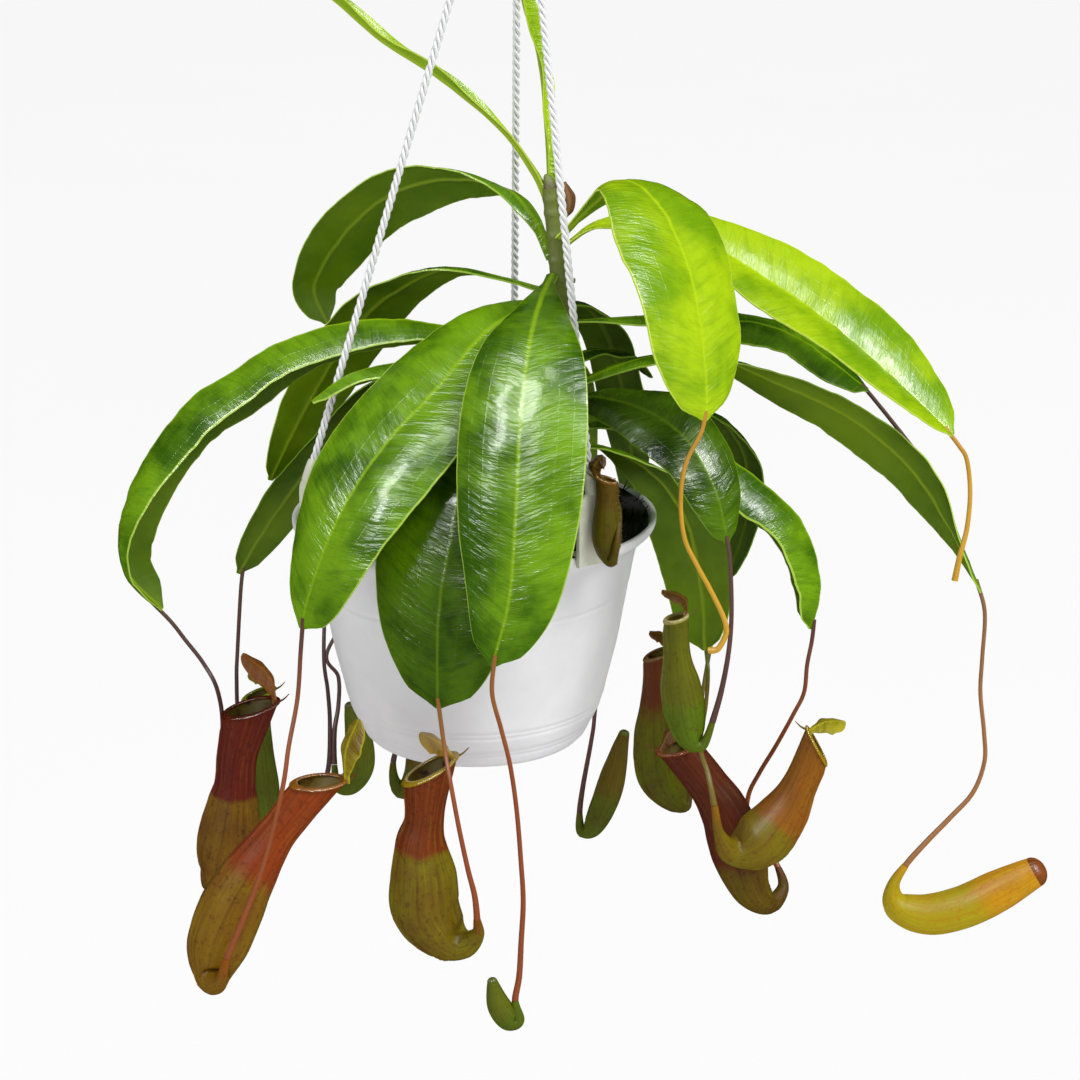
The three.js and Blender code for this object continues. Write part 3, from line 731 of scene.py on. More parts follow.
class Spine:
    """A smooth curve through points, which keeps even steps between them."""

    PARTS = 12  # between two points, where its length is measured
    STEP = 1e-4  # of t, over which its heading is taken

    def __init__(self, points: Sequence[Point]) -> None:
        """Keeps the points, with one more beyond each end, and measures the curve.

        Args:
            points: What the curve runs through.
        """
        inner = [vec(p) for p in points]
        self.points = [2 * inner[0] - inner[1], *inner, 2 * inner[-1] - inner[-2]]
        self.spans = len(inner) - 1
        self.marks = [0.0]
        last = self.at(0.0)
        for k in range(1, self.spans * self.PARTS + 1):
            here = self.at(k / (self.spans * self.PARTS))
            self.marks.append(self.marks[-1] + (here - last).length)
            last = here

    @property
    def length(self) -> float:
        """The curve's length."""
        return self.marks[-1]

    def at(self, t: float) -> Vector:
        """A point of the curve.

        Args:
            t: The place, which counts the given points evenly from 0 to 1.

        Returns:
            The point.
        """
        x = min(max(t, 0.0), 1.0) * self.spans
        k = min(int(x), self.spans - 1)
        w = x - k
        a, b, c, d = self.points[k:k + 4]
        return 0.5 * (2 * b + (c - a) * w + (2 * a - 5 * b + 4 * c - d) * w * w
                      + (3 * b - a - 3 * c + d) * w ** 3)

    def heading(self, t: float) -> Vector:
        """The direction of travel at t."""
        return (self.at(min(t + self.STEP, 1.0)) - self.at(max(t - self.STEP, 0.0))).normalized()

    def even(self, share: float) -> float:
        """The place that lies at a share of the curve's length.

        Args:
            share: The share, 0 to 1.

        Returns:
            The place, as at() counts it.
        """
        goal = share * self.length
        for k in range(1, len(self.marks)):
            if self.marks[k] >= goal or k == len(self.marks) - 1:
                run = self.marks[k] - self.marks[k - 1]
                w = (goal - self.marks[k - 1]) / run if run else 0.0
                return (k - 1 + w) / (len(self.marks) - 1)
        return 1.0


def turns(count: int) -> list[float]:
    """Evenly spaced angles of one whole turn, in radians."""
    return [2 * math.pi * k / count for k in range(count)]


def square_to(along: Vector) -> tuple[Vector, Vector]:
    """Two directions square to a third and to each other."""
    side = along.cross(REAR).normalized()
    return side, side.cross(along).normalized()


def ring(centre: Vector, along: Vector, radius: float, sides: int) -> list[Vector]:
    """Points round a centre.

    Args:
        centre: The centre.
        along: The direction that the ring stands square to.
        radius: Its radius.
        sides: How many points.

    Returns:
        The points.
    """
    side, other = square_to(along)
    return [centre + side * (radius * math.cos(a)) + other * (radius * math.sin(a)) for a in turns(sides)]


@dataclass
class Skin:
    """Vertices and faces on their way to one mesh, in plant millimetres."""

    points: list[Vector] = field(default_factory=list)
    faces: list[tuple[int, ...]] = field(default_factory=list)
    slots: list[int] = field(default_factory=list)
    share: list[tuple[float, float]] = field(default_factory=list)
    span: list[tuple[float, float]] = field(default_factory=list)

    def face(self, corners: Sequence[int], slot: int, share: Sequence[tuple[float, float]],
             span: Sequence[tuple[float, float]] | None = None) -> None:
        """Adds one face with its layers' coordinates.

        Args:
            corners: Its points.
            slot: The material's place.
            share: Its corners on the layer of shares, 0 to 1 each way.
            span: The same in decimetres, where it differs.
        """
        self.faces.append(tuple(corners))
        self.slots.append(slot)
        self.share.extend(share)
        self.span.extend(span or share)

    def weave(self, rows: Sequence[Sequence[Vector]], slot: Callable[[int, int], int] | int = 0,
              share: Callable[[int, int], tuple[float, float]] | None = None,
              span: Callable[[int, int], tuple[float, float]] | None = None,
              looped: bool = False) -> None:
        """Joins rings of points with quads.

        Args:
            rows: Rings of equal length.
            slot: The material's place, or a rule for it from row and column.
            share: Coordinates from row and column, of which there is one more than points.
            span: The same, in decimetres.
            looped: Whether the last row joins the first.
        """
        start = len(self.points)
        width = len(rows[0])
        for row in rows:
            self.points.extend(row)
        last = len(rows) if looped else len(rows) - 1
        share = share or (lambda i, j: (j / width, i / last))
        span = span or share
        for i in range(last):
            for j in range(width):
                near, far = start + i * width, start + ((i + 1) % len(rows)) * width
                k = (j + 1) % width
                cells = [(i, j), (i, j + 1), (i + 1, j + 1), (i + 1, j)]
                self.face((near + j, near + k, far + k, far + j), slot(i, j) if callable(slot) else slot,
                          [share(*c) for c in cells], [span(*c) for c in cells])

    def cap(self, row: Sequence[Vector], slot: int, flip: bool = False, at: float = 0.0) -> None:
        """Closes a ring with a fan.

        Args:
            row: The ring.
            slot: The material's place.
            flip: Whether the fan faces back along the piece.
            at: Where along the piece it stands, 0 to 1.
        """
        start = len(self.points)
        self.points.extend(row)
        self.points.append(sum(row, Vector()) / len(row))
        for j in range(len(row)):
            pair = (start + j, start + (j + 1) % len(row))
            corners = (*(reversed(pair) if flip else pair), len(self.points) - 1)
            self.face(corners, slot, [(0.5, at)] * 3)

    def tube(self, spine: Spine, radius: Callable[[float], float], sides: int, rings: int, slot: int = 0,
             stop: float = 1.0) -> None:
        """Adds a round tube of changing radius over a curve, closed at both ends.

        Args:
            spine: The curve.
            radius: Radius in millimetres from the share of the tube's length, 0 to 1.
            sides: Points round.
            rings: Rows along.
            slot: The material's place.
            stop: Where on the curve it stops.
        """
        rows = []
        for i in range(rings + 1):
            t = stop * i / rings
            rows.append(ring(spine.at(t), spine.heading(t), radius(i / rings), sides))
        reach = spine.length * stop / DECIMETRE

        def span(i: int, j: int) -> tuple[float, float]:
            """Decimetres round and along the tube."""
            return j / sides * 2 * math.pi * radius(i / rings) / DECIMETRE, reach * i / rings
        self.weave(rows, slot, span=span)
        self.cap(rows[0], slot, flip=True)
        self.cap(rows[-1], slot, at=1.0)

    def body(self, rows: Sequence[Sequence[Vector]], slot: int = 0) -> None:
        """Adds a solid of plain rings, closed at both ends.

        Args:
            rows: Its rings.
            slot: The material's place.
        """
        self.weave(rows, slot)
        self.cap(rows[0], slot, flip=True)
        self.cap(rows[-1], slot)

    def seat(self, node: str, slot: str, finishes: Sequence[bpy.types.Material], crisp: float = 50.0,
             origin: Vector | None = None) -> bpy.types.Object:
        """Makes the object and puts it in its node's stead, on the plant's one body.

        Args:
            node: The node that it replaces.
            slot: Its finish's slot; not used.
            finishes: Its materials, in the order of their places.
            crisp: Edges sharper than this angle, in degrees, stay sharp.
            origin: Where its coordinates start, in metres, if not at the pot's rim.

        Returns:
            The new object, its place held in its mesh.
        """
        name = node + "_dressed"
        origin = rim_middle() if origin is None else origin
        mesh = bpy.data.meshes.new(name)
        mesh.from_pydata([origin + p * MM for p in self.points], [], self.faces)
        for label, coordinates in (("Share", self.share), ("Span", self.span)):
            layer = mesh.uv_layers.new(name=label)
            layer.data.foreach_set("uv", [number for uv in coordinates for number in uv])
        mesh.polygons.foreach_set("material_index", self.slots)
        for finish in finishes:
            mesh.materials.append(finish)
        mesh.validate()
        merge_close(mesh)
        mesh.shade_smooth()
        mesh.set_sharp_from_angle(angle=math.radians(crisp))
        piece = bpy.data.objects.new(name, mesh)
        bpy.context.collection.objects.link(piece)
        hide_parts(node)
        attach(piece, "root")
        LOG.info("%s: %d faces in place of %s", name, len(mesh.polygons), node)
        return piece


def around_z(radius: float, angle: float, height: float) -> Vector:
    """A point at a radius and an angle, in radians, round the vertical through the origin."""
    return Vector((radius * math.cos(angle), radius * math.sin(angle), height))


def merge_close(mesh: bpy.types.Mesh) -> None:
    """Welds the points that tubes and caps share, and turns all faces outwards.

    Args:
        mesh: The mesh, which is changed.
    """
    work = bmesh.new()
    work.from_mesh(mesh)
    bmesh.ops.remove_doubles(work, verts=work.verts, dist=WELD)
    bmesh.ops.recalc_face_normals(work, faces=work.faces)
    work.to_mesh(mesh)
    work.free()


# ------------------------------------------------------------------ blades and leaves
@dataclass(frozen=True)
class Blade:
    """A thin sheet about a rib: a leaf's blade, a pitcher's lid or a bract.

    half is half its greatest width and belly where along the rib that is. A low blunt rounds
    the tip. head is the compass direction it grows in, roll how far it turns about its rib and
    fold how far its halves hang below flat, all in degrees.
    """

    rib: Sequence[Point]
    half: float
    belly: float = 0.6
    blunt: float = 0.5
    taper: float = 0.8
    head: float | None = None
    roll: Sequence[float] = (0,)
    fold: Sequence[float] = (10,)
    foot: float = 3
    wave: float = 1.1
    nerve: float = 0.9

    GROOVE = math.radians(18)  # how steeply the halves rise beside the rib
    THICKNESS = 0.8
    SHARES = (0.03, 0.08, 0.16, 0.27, 0.4, 0.54, 0.68, 0.81, 0.91, 0.975, 1.0)
    TIP = 0.03  # share of the length over which the tip closes
    LEAST = 1.4  # mm, the narrowest half
    QUILT = ((0.75, 1.0), (0.3, 2.6))  # height in millimetres and fineness of each unevenness
    KEEL = 1.3  # mm, half the rib's width

    def lay(self, skin: Skin, steps: int, top: int, back: int) -> None:
        """Adds the sheet to a mesh.

        Args:
            skin: The mesh.
            steps: Rows along the rib.
            top: The upper face's material.
            back: The underside's material.
        """
        spine = Spine(self.rib)
        signed = [-x for x in reversed(self.SHARES)] + [0.0] + list(self.SHARES)
        count = len(signed)
        around = [*signed, *reversed(signed), signed[0]]
        rows = [self._row(spine, i / steps, signed) for i in range(steps + 1)]

        def span(i: int, j: int) -> tuple[float, float]:
            """Decimetres from the rib and along it."""
            return around[j] * self.width(i / steps) / DECIMETRE, spine.length * i / steps / DECIMETRE
        skin.weave(
            rows, lambda i, j: back if count <= j < 2 * count - 1 else top,
            share=lambda i, j: (around[j] * 0.5 + 0.5, i / steps), span=span)
        skin.cap(rows[0], back, flip=True)
        skin.cap(rows[-1], back, at=1.0)

    def width(self, t: float) -> float:
        """Half the blade's width.

        Args:
            t: The share of its length.

        Returns:
            The width in millimetres.
        """
        power = math.log(0.5) / math.log(self.belly)
        swell = self.half * max(math.sin(math.pi * t ** power), 0.0) ** (
            self.taper if t < self.belly else self.blunt)
        swell *= min(1.0, (1 - t) / self.TIP) ** 0.5
        return max(swell, self.foot * (1 - t) ** 1.5, self.LEAST)

    def _row(self, spine: Spine, t: float, signed: Sequence[float]) -> list[Vector]:
        """One closed section.

        Args:
            spine: The rib's curve.
            t: The share of its length.
            signed: Shares of the half's width, from the left margin to the right.

        Returns:
            The upper face from left to right, and the underside back again.
        """
        ends = vec(self.rib[-1]) - vec(self.rib[0])
        heading = math.atan2(ends.y, ends.x) if self.head is None else math.radians(self.head)
        level = Vector((math.sin(heading), -math.cos(heading), 0.0))
        at = spine.even(t)
        centre, along = spine.at(at), spine.heading(at)
        side = (level - along * level.dot(along)).normalized()
        normal = side.cross(along).normalized()
        turn = math.radians(keyed(self.roll, t))
        across = side * math.cos(turn) + normal * math.sin(turn)
        rise = normal * math.cos(turn) - side * math.sin(turn)
        width = self.width(t)
        hang = math.radians(keyed(self.fold, t))
        upper, lower = [], []
        for x in signed:
            out, lift = self._reach(abs(x), width, hang)
            hand = math.copysign(1.0, x)
            ripple = self.wave * x * x * math.sin(6 * math.pi * t + hand) * math.sin(math.pi * t)
            p = centre + across * (hand * out) + rise * (lift + ripple)
            quilt = Vector((x * width * 0.05, spine.length * t * 0.1, self.half))
            swell = sum(high * noise.noise(quilt * fine) for high, fine in self.QUILT) * min(1.0, width / 14)
            keel = math.exp(-(x * width / self.KEEL) ** 2) * (1 - 0.55 * t)
            upper.append(p + rise * (swell + 0.3 * keel))
            lower.append(p + rise * (swell - self.THICKNESS - self.nerve * keel))
        return [*upper, *reversed(lower)]

    def _reach(self, x: float, width: float, hang: float) -> tuple[float, float]:
        """How far the face has come from the rib.

        Args:
            x: The share of the half's width, 0 to 1.
            width: The half's width in millimetres.
            hang: How far below level it hangs, in radians.

        Returns:
            The way out and the way up, in millimetres.
        """
        out = lift = last = 0.0
        for mark in (*(m for m in self.SHARES if m < x), x):
            slope = self.GROOVE * (1 - (last + mark)) - hang
            out += math.cos(slope) * width * (mark - last)
            lift += math.sin(slope) * width * (mark - last)
            last = mark
        return out, lift


@dataclass(frozen=True)
class Leaf:
    """A leaf with the tendril that runs on from its tip."""

    blade: Blade
    tone: Tone = Tone.MATURE
    tendril: Sequence[Point] = ()
    vine: str = "brown"

    SLOTS = {Tone.MATURE: "leaf", Tone.WELL_LIT: "leaf", Tone.SHADED: "dark_leaf", Tone.YOUNG: "young_leaf"}
    TOP, BACK, VINE = range(3)
    TAKEOFF = 0.975  # share of the blade's length where the tendril starts
    BROAD = 15  # mm, half the width above which a blade has more rows
    ROWS = (48, 90)
    TENDRIL_SIDES = 12
    TENDRIL_ROWS = 18  # for each of its points

    def lead(self) -> list[Point]:
        """The tendril's points, from inside the blade's tip."""
        spine = Spine(self.blade.rib)
        return [spine.at(spine.even(self.TAKEOFF)), *self.tendril]

    def build(self, name: str, axis: Sequence[Point], paint: Paint) -> None:
        """Makes the leaf.

        Args:
            name: Its node.
            axis: The points of the pitcher that it bears, if any.
            paint: The shared materials.
        """
        skin = Skin()
        self.blade.lay(skin, self.ROWS[self.blade.half > self.BROAD], self.TOP, self.BACK)
        if self.tendril:
            lead = self.lead()
            spine = Spine([*lead, *axis])
            stop = len(lead) / (len(lead) + len(axis) - 1) - GAP / 2 / spine.length if axis else 1.0
            skin.tube(spine, lambda s: 1.05 + 0.6 * s ** 3, self.TENDRIL_SIDES,
                      self.TENDRIL_ROWS * len(lead), self.VINE, stop=stop)
        skin.seat(name, self.SLOTS[self.tone], [*paint.blade(self.tone), *paint.vine(self.vine)])


# ------------------------------------------------------------------ pitchers
@dataclass(frozen=True)
class CupLook:
    """The colours of one pitcher, and where along it the flush ends.

    colours are the neck, the bulb, the freckles, the rim and its ribs, the lid and its deep green.
    """

    colours: Sequence[tuple[int, int, int]]
    line: float = 0.66
    soft: float = 0.06
    slot: str = "pitcher"

    WAX = srgb(132, 112, 30)

    def finishes(self, name: str) -> list[bpy.types.Material]:
        """The pitcher's materials.

        Args:
            name: What their names start with.

        Returns:
            Its skin, lining, rim, lid and the lid's underside.
        """
        neck, bulb, freckle, rim, ribs, lid, deep = (srgb(*colour) for colour in self.colours)
        return [
            CupSkin(name + "_skin", neck, bulb, freckle, self.line, self.soft).make(),
            CupLining(name + "_lining", self.WAX, freckle).make(),
            RibbedRim(name + "_rim", rim, ribs).make(),
            BladeFace(name + "_lid", lid, deep, tinted(lid, 1.6), lid, 0.34, 0.2).make(),
            BladeBack(name + "_lid_back", deep, tinted(deep, 0.7), lid, lid).make(),
        ]


@dataclass(frozen=True)
class Pitcher:
    """A swollen cup on the end of a tendril, open at a slanted mouth under a lid, or closed.

    axis runs from the joint round the cup to the mouth, with the radius in the fourth place.
    """

    axis: Sequence[Point]
    look: str
    leaf: str = ""
    shoot: Sequence[Point] = ()
    slant: float = 0.0
    to_lid: Point = (1, 0)
    lid: Sequence[Point] = ()
    lid_half: float = 0.0
    hollow: float = 0.0
    wing: float = 0.8
    fringed: bool = False

    WALL = 1.3
    SIDES = 96
    RINGS = 64
    LEAST = 0.8  # mm, the smallest radius
    FLARE = 5  # the mouth's slant starts a fifth of the length below it
    RIDGE = (0.33, 0.075)  # radians from the front to each wing, and half its width
    UNEVEN = 0.018  # of the radius
    HINGE = Vector((0, 0, 0.8))  # how far the lid and the spur are sunk in the rim
    SPUR = (6, 2.5, 3.5)
    DOME = 8  # rings of a closed lid
    LID_ROWS = 28
    COLLAR_SIDES = 14
    SKIN, LINING, COLLAR, LID, LID_BACK = range(5)

    def build(self, name: str, lead: Sequence[Point], paint: Paint) -> None:
        """Makes the pitcher.

        Args:
            name: Its node.
            lead: The points of the tendril or shoot that bears it.
            paint: The shared materials.
        """
        points = [*lead, *self.axis]
        spine = Spine(points)
        meet = len(lead) / (len(points) - 1)
        skin = Skin()
        if self.shoot:
            skin.tube(spine, lambda s: 1.05 + 0.4 * s, 14, 60, stop=meet)
        start = 0.0 if self.shoot else GAP / 2 / spine.length / (1 - meet)
        if self.lid:
            self._open(skin, spine, meet, start)
        else:
            self._closed(skin, spine, meet, start)
        skin.seat(name, LOOKS[self.look].slot, paint.cup(self.look))

    def _ring(self, spine: Spine, meet: float, s: float, shrink: float, wings: bool) -> list[Vector]:
        """One section of the cup, which leans towards the lid near the mouth.

        Args:
            spine: The curve of the tendril and the cup.
            meet: Where on it the cup starts.
            s: The share of the cup's length.
            shrink: How far inside the skin the section lies.
            wings: Whether the two wings stand out of it.

        Returns:
            Its points.
        """
        t = meet + (1 - meet) * s
        along, centre = spine.heading(t), spine.at(t)
        radius = max(Spine([(p[3], 0, 0) for p in self.axis]).at(s).x - shrink, self.LEAST)
        uphill = Vector((*self.to_lid, 0.0))
        lean = self.slant * max(0.0, 1 - (1 - s) * self.FLARE) if self.lid else 0.0
        side, other = square_to(along)
        front = math.atan2(-uphill.dot(other), -uphill.dot(side))
        level = math.hypot(uphill.dot(other), uphill.dot(side))
        fade = min(1.0, max(0.0, (s - 0.12) / 0.2)) * min(1.0, (1 - s) / 0.05) * min(1.0, level * 1.6)
        points = []
        for angle in turns(self.SIDES):
            off = (angle - front + math.pi) % (2 * math.pi) - math.pi
            ridge = math.exp(-((abs(off) - self.RIDGE[0]) / self.RIDGE[1]) ** 2)
            fringe = 0.55 + 0.45 * math.sin(s * 150) if self.fringed else 1.0
            r = radius + (self.wing * ridge * fade * fringe if wings else 0.0)
            p = side * (r * math.cos(angle)) + other * (r * math.sin(angle))
            if wings and shrink == 0.0:
                p *= 1 + self.UNEVEN * noise.noise((centre + p) * 0.11)
            points.append(centre + p + along * (lean * p.dot(uphill)))
        return points

    def _open(self, skin: Skin, spine: Spine, meet: float, start: float) -> None:
        """The cup's wall outside and in, its collar, its lid and the spur behind the lid.

        Args:
            skin: The mesh.
            spine: The curve of the tendril and the cup.
            meet: Where on it the cup starts.
            start: The share of the cup's length where its skin starts.
        """
        outer = self.RINGS
        deep = round(outer * self.hollow)
        rows = [self._ring(spine, meet, max(i / outer, start), 0.0, True) for i in range(outer + 1)]
        rows += [self._ring(spine, meet, 1 - i / outer, self.WALL, False) for i in range(deep + 1)]
        skin.weave(rows, lambda i, j: self.SKIN if i < outer else self.LINING,
                   share=lambda i, j: (j / self.SIDES, min(i / outer, 2 - i / outer)))
        skin.cap(rows[0], self.SKIN, flip=True)
        skin.cap(rows[-1], self.LINING, at=1 - self.hollow)
        mouth = self._ring(spine, meet, 1.0, self.WALL / 2, False)
        self._collar(skin, mouth, spine.heading(1.0))
        uphill = Vector((*self.to_lid, 0.0))
        hinge = max(mouth, key=lambda p: p.dot(uphill))
        rib = [hinge - self.HINGE, *(hinge + Vector(step) for step in self.lid)]
        lid = Blade(rib, self.lid_half, fold=(12,), wave=0.4, nerve=0.5)
        lid.lay(skin, self.LID_ROWS, self.LID, self.LID_BACK)
        reach = Vector((self.SPUR[0] * self.to_lid[0], *self.SPUR[1:]))
        thorn = Spine([hinge - reach * 0.1, hinge + reach * 0.5 - self.HINGE, hinge + reach])
        skin.tube(thorn, lambda s: 0.75 - 0.55 * s, 8, 12)

    def _collar(self, skin: Skin, mouth: Sequence[Vector], along: Vector) -> None:
        """A rounded, down-turned and finely ribbed rim round the mouth.

        Args:
            skin: The mesh.
            mouth: The middle of the wall, round the mouth.
            along: The direction in which the mouth faces.
        """
        middle = sum(mouth, Vector()) / len(mouth)
        wide = min(1.7, 0.18 * (mouth[0] - middle).length)
        sides = self.COLLAR_SIDES
        rows = []
        for j, p in enumerate(mouth):
            out = (p - middle).normalized()
            crest = 1 + 0.1 * math.cos(math.pi * j)
            row = []
            for a in turns(sides):
                x, z = wide * math.cos(a), 0.95 * math.sin(a)
                row.append(p + out * (x * crest) + along * (z * crest + 0.25 - 0.32 * max(x, 0.0)))
            rows.append(row)
        skin.weave(rows, self.COLLAR, share=lambda i, j: (i / len(mouth), j / sides), looped=True)

    def _closed(self, skin: Skin, spine: Spine, meet: float, start: float) -> None:
        """A cup that hasn't opened: its lid is still shut in a low dome.

        Args:
            skin: The mesh.
            spine: The curve of the tendril and the cup.
            meet: Where on it the cup starts.
            start: The share of the cup's length where its skin starts.
        """
        rows = [self._ring(spine, meet, max(i / self.RINGS, start), 0.0, True)[::2]
                for i in range(self.RINGS + 1)]
        rim = rows[-1]
        middle = sum(rim, Vector()) / len(rim)
        along = spine.heading(1.0)
        high = 0.8 * (rim[0] - middle).length
        rows.append([middle + (p - middle) * 0.9 + along * 0.2 for p in rim])
        for k in range(self.DOME):
            a = k / self.DOME * math.pi / 2
            rows.append([middle + (p - middle) * math.cos(a) + along * (high * math.sin(a)) for p in rim])
        half = self.SIDES // 2
        skin.weave(rows, lambda i, j: self.SKIN if i < self.RINGS else self.LID,
                   share=lambda i, j: (j / half, min(i / self.RINGS, 1.0)))
        skin.cap(rows[0], self.SKIN, flip=True)
        skin.cap(rows[-1], self.LID, at=1.0)


def both_faces(name: str, colours: Sequence[tuple[int, int, int]]) -> list[bpy.types.Material]:
    """The materials of a blade's upper face and underside.

    Args:
        name: What their names start with.
        colours: Light, deep, rib and margin of the one and then of the other.

    Returns:
        The two materials.
    """
    linear = [srgb(*colour) for colour in colours]
    return [BladeFace(name + "_top", *linear[:4]).make(), BladeBack(name + "_back", *linear[4:]).make()]


class Paint:
    """Materials that several pieces share, each made once."""

    def __init__(self) -> None:
        """Starts with nothing made."""
        self._made: dict[str, list[bpy.types.Material]] = {}

    def _once(self, key: str, make: Callable[[], list[bpy.types.Material]]) -> list[bpy.types.Material]:
        """The materials under a key.

        Args:
            key: The key.
            make: What makes them when they are first asked for.

        Returns:
            The materials.
        """
        if key not in self._made:
            self._made[key] = make()
        return self._made[key]

    def blade(self, tone: Tone) -> list[bpy.types.Material]:
        """The two faces of leaves of a tone."""
        return self._once("blade " + tone.value, lambda: both_faces(tone.value + "_blade", GREENS[tone]))

    def vine(self, name: str) -> list[bpy.types.Material]:
        """A tendril's skin."""
        skin = TendrilSkin(name + "_tendril", *(srgb(*colour) for colour in VINES[name]))
        return self._once("vine " + name, lambda: [skin.make()])

    def cup(self, look: str) -> list[bpy.types.Material]:
        """A pitcher's five materials."""
        return self._once("cup " + look, lambda: LOOKS[look].finishes(look))


# ------------------------------------------------------------------ pot, soil and stem
@dataclass(frozen=True)
class Pot:
    """The thin white pot: a lathed wall with faint creases and a flared lip."""

    WALL_OUT = ((57, -112.5), (64, -98), (67.5, -84), (72, -65), (75, -48), (78, -32), (82, -14), (90, -5))
    WALL_IN = ((87.4, -4.2), (79.8, -13), (75.9, -32), (72.9, -48), (69.9, -65), (65.4, -84), (61.9, -97.4),
               (55.4, -110))
    FOOT_OUT = ((0.5, -116.0), (30, -116.0), (46, -116.0), (50, -116.0), (52.6, -115.7), (54.6, -114.9))
    LIP = ((90.7, -3.6), (91.0, -1.4), (90.95, -0.6), (90.4, -0.05), (89.5, 0.0), (88.9, -0.3), (88.5, -1.2))
    FOOT_IN = ((49.4, -113.6), (0.5, -113.6))
    CREASES = (-108.0, -105.6, -96.6, -94.2, -35.0)  # heights
    CREASE = (0.55, 0.9)  # depth and half the width
    ROWS = (170, 50)  # outside and inside
    LOOSE = 0.35  # mm out of true at the rim
    SIDES = 144

    def profile(self) -> list[tuple[float, float]]:
        """The wall's section.

        Returns:
            Radius and height from the middle of the foot, over the lip, to the middle inside.
        """
        deep, half = self.CREASE
        outer = [(r - sum(deep * math.exp(-((z - crease) / half) ** 2) for crease in self.CREASES), z)
                 for r, z in self._smooth(self.WALL_OUT, self.ROWS[0])]
        inner = self._smooth(self.WALL_IN, self.ROWS[1])
        return [*self.FOOT_OUT, *outer, *self.LIP, *inner, *self.FOOT_IN]

    @staticmethod
    def _smooth(points: Sequence[Point], count: int) -> list[tuple[float, float]]:
        """A rounded line through profile points."""
        spine = Spine([(r, 0, z) for r, z in points])
        return [(p.x, p.z) for p in (spine.at(i / count) for i in range(count + 1))]

    def build(self) -> None:
        """Makes the pot, a little out of true as thin plastic is."""
        rows = []
        for r, z in self.profile():
            loose = min(1.0, max(0.0, (z - self.FOOT_OUT[0][1]) / 60)) * self.LOOSE
            rows.append([Vector(((r + loose * math.sin(3 * a + 0.7)) * math.cos(a),
                                 (r + loose * math.sin(2 * a)) * math.sin(a), z))
                         for a in turns(self.SIDES)])
        skin = Skin()
        skin.body(rows)
        skin.seat("pot", "pot", [PotPlastic().make()], 40.0)


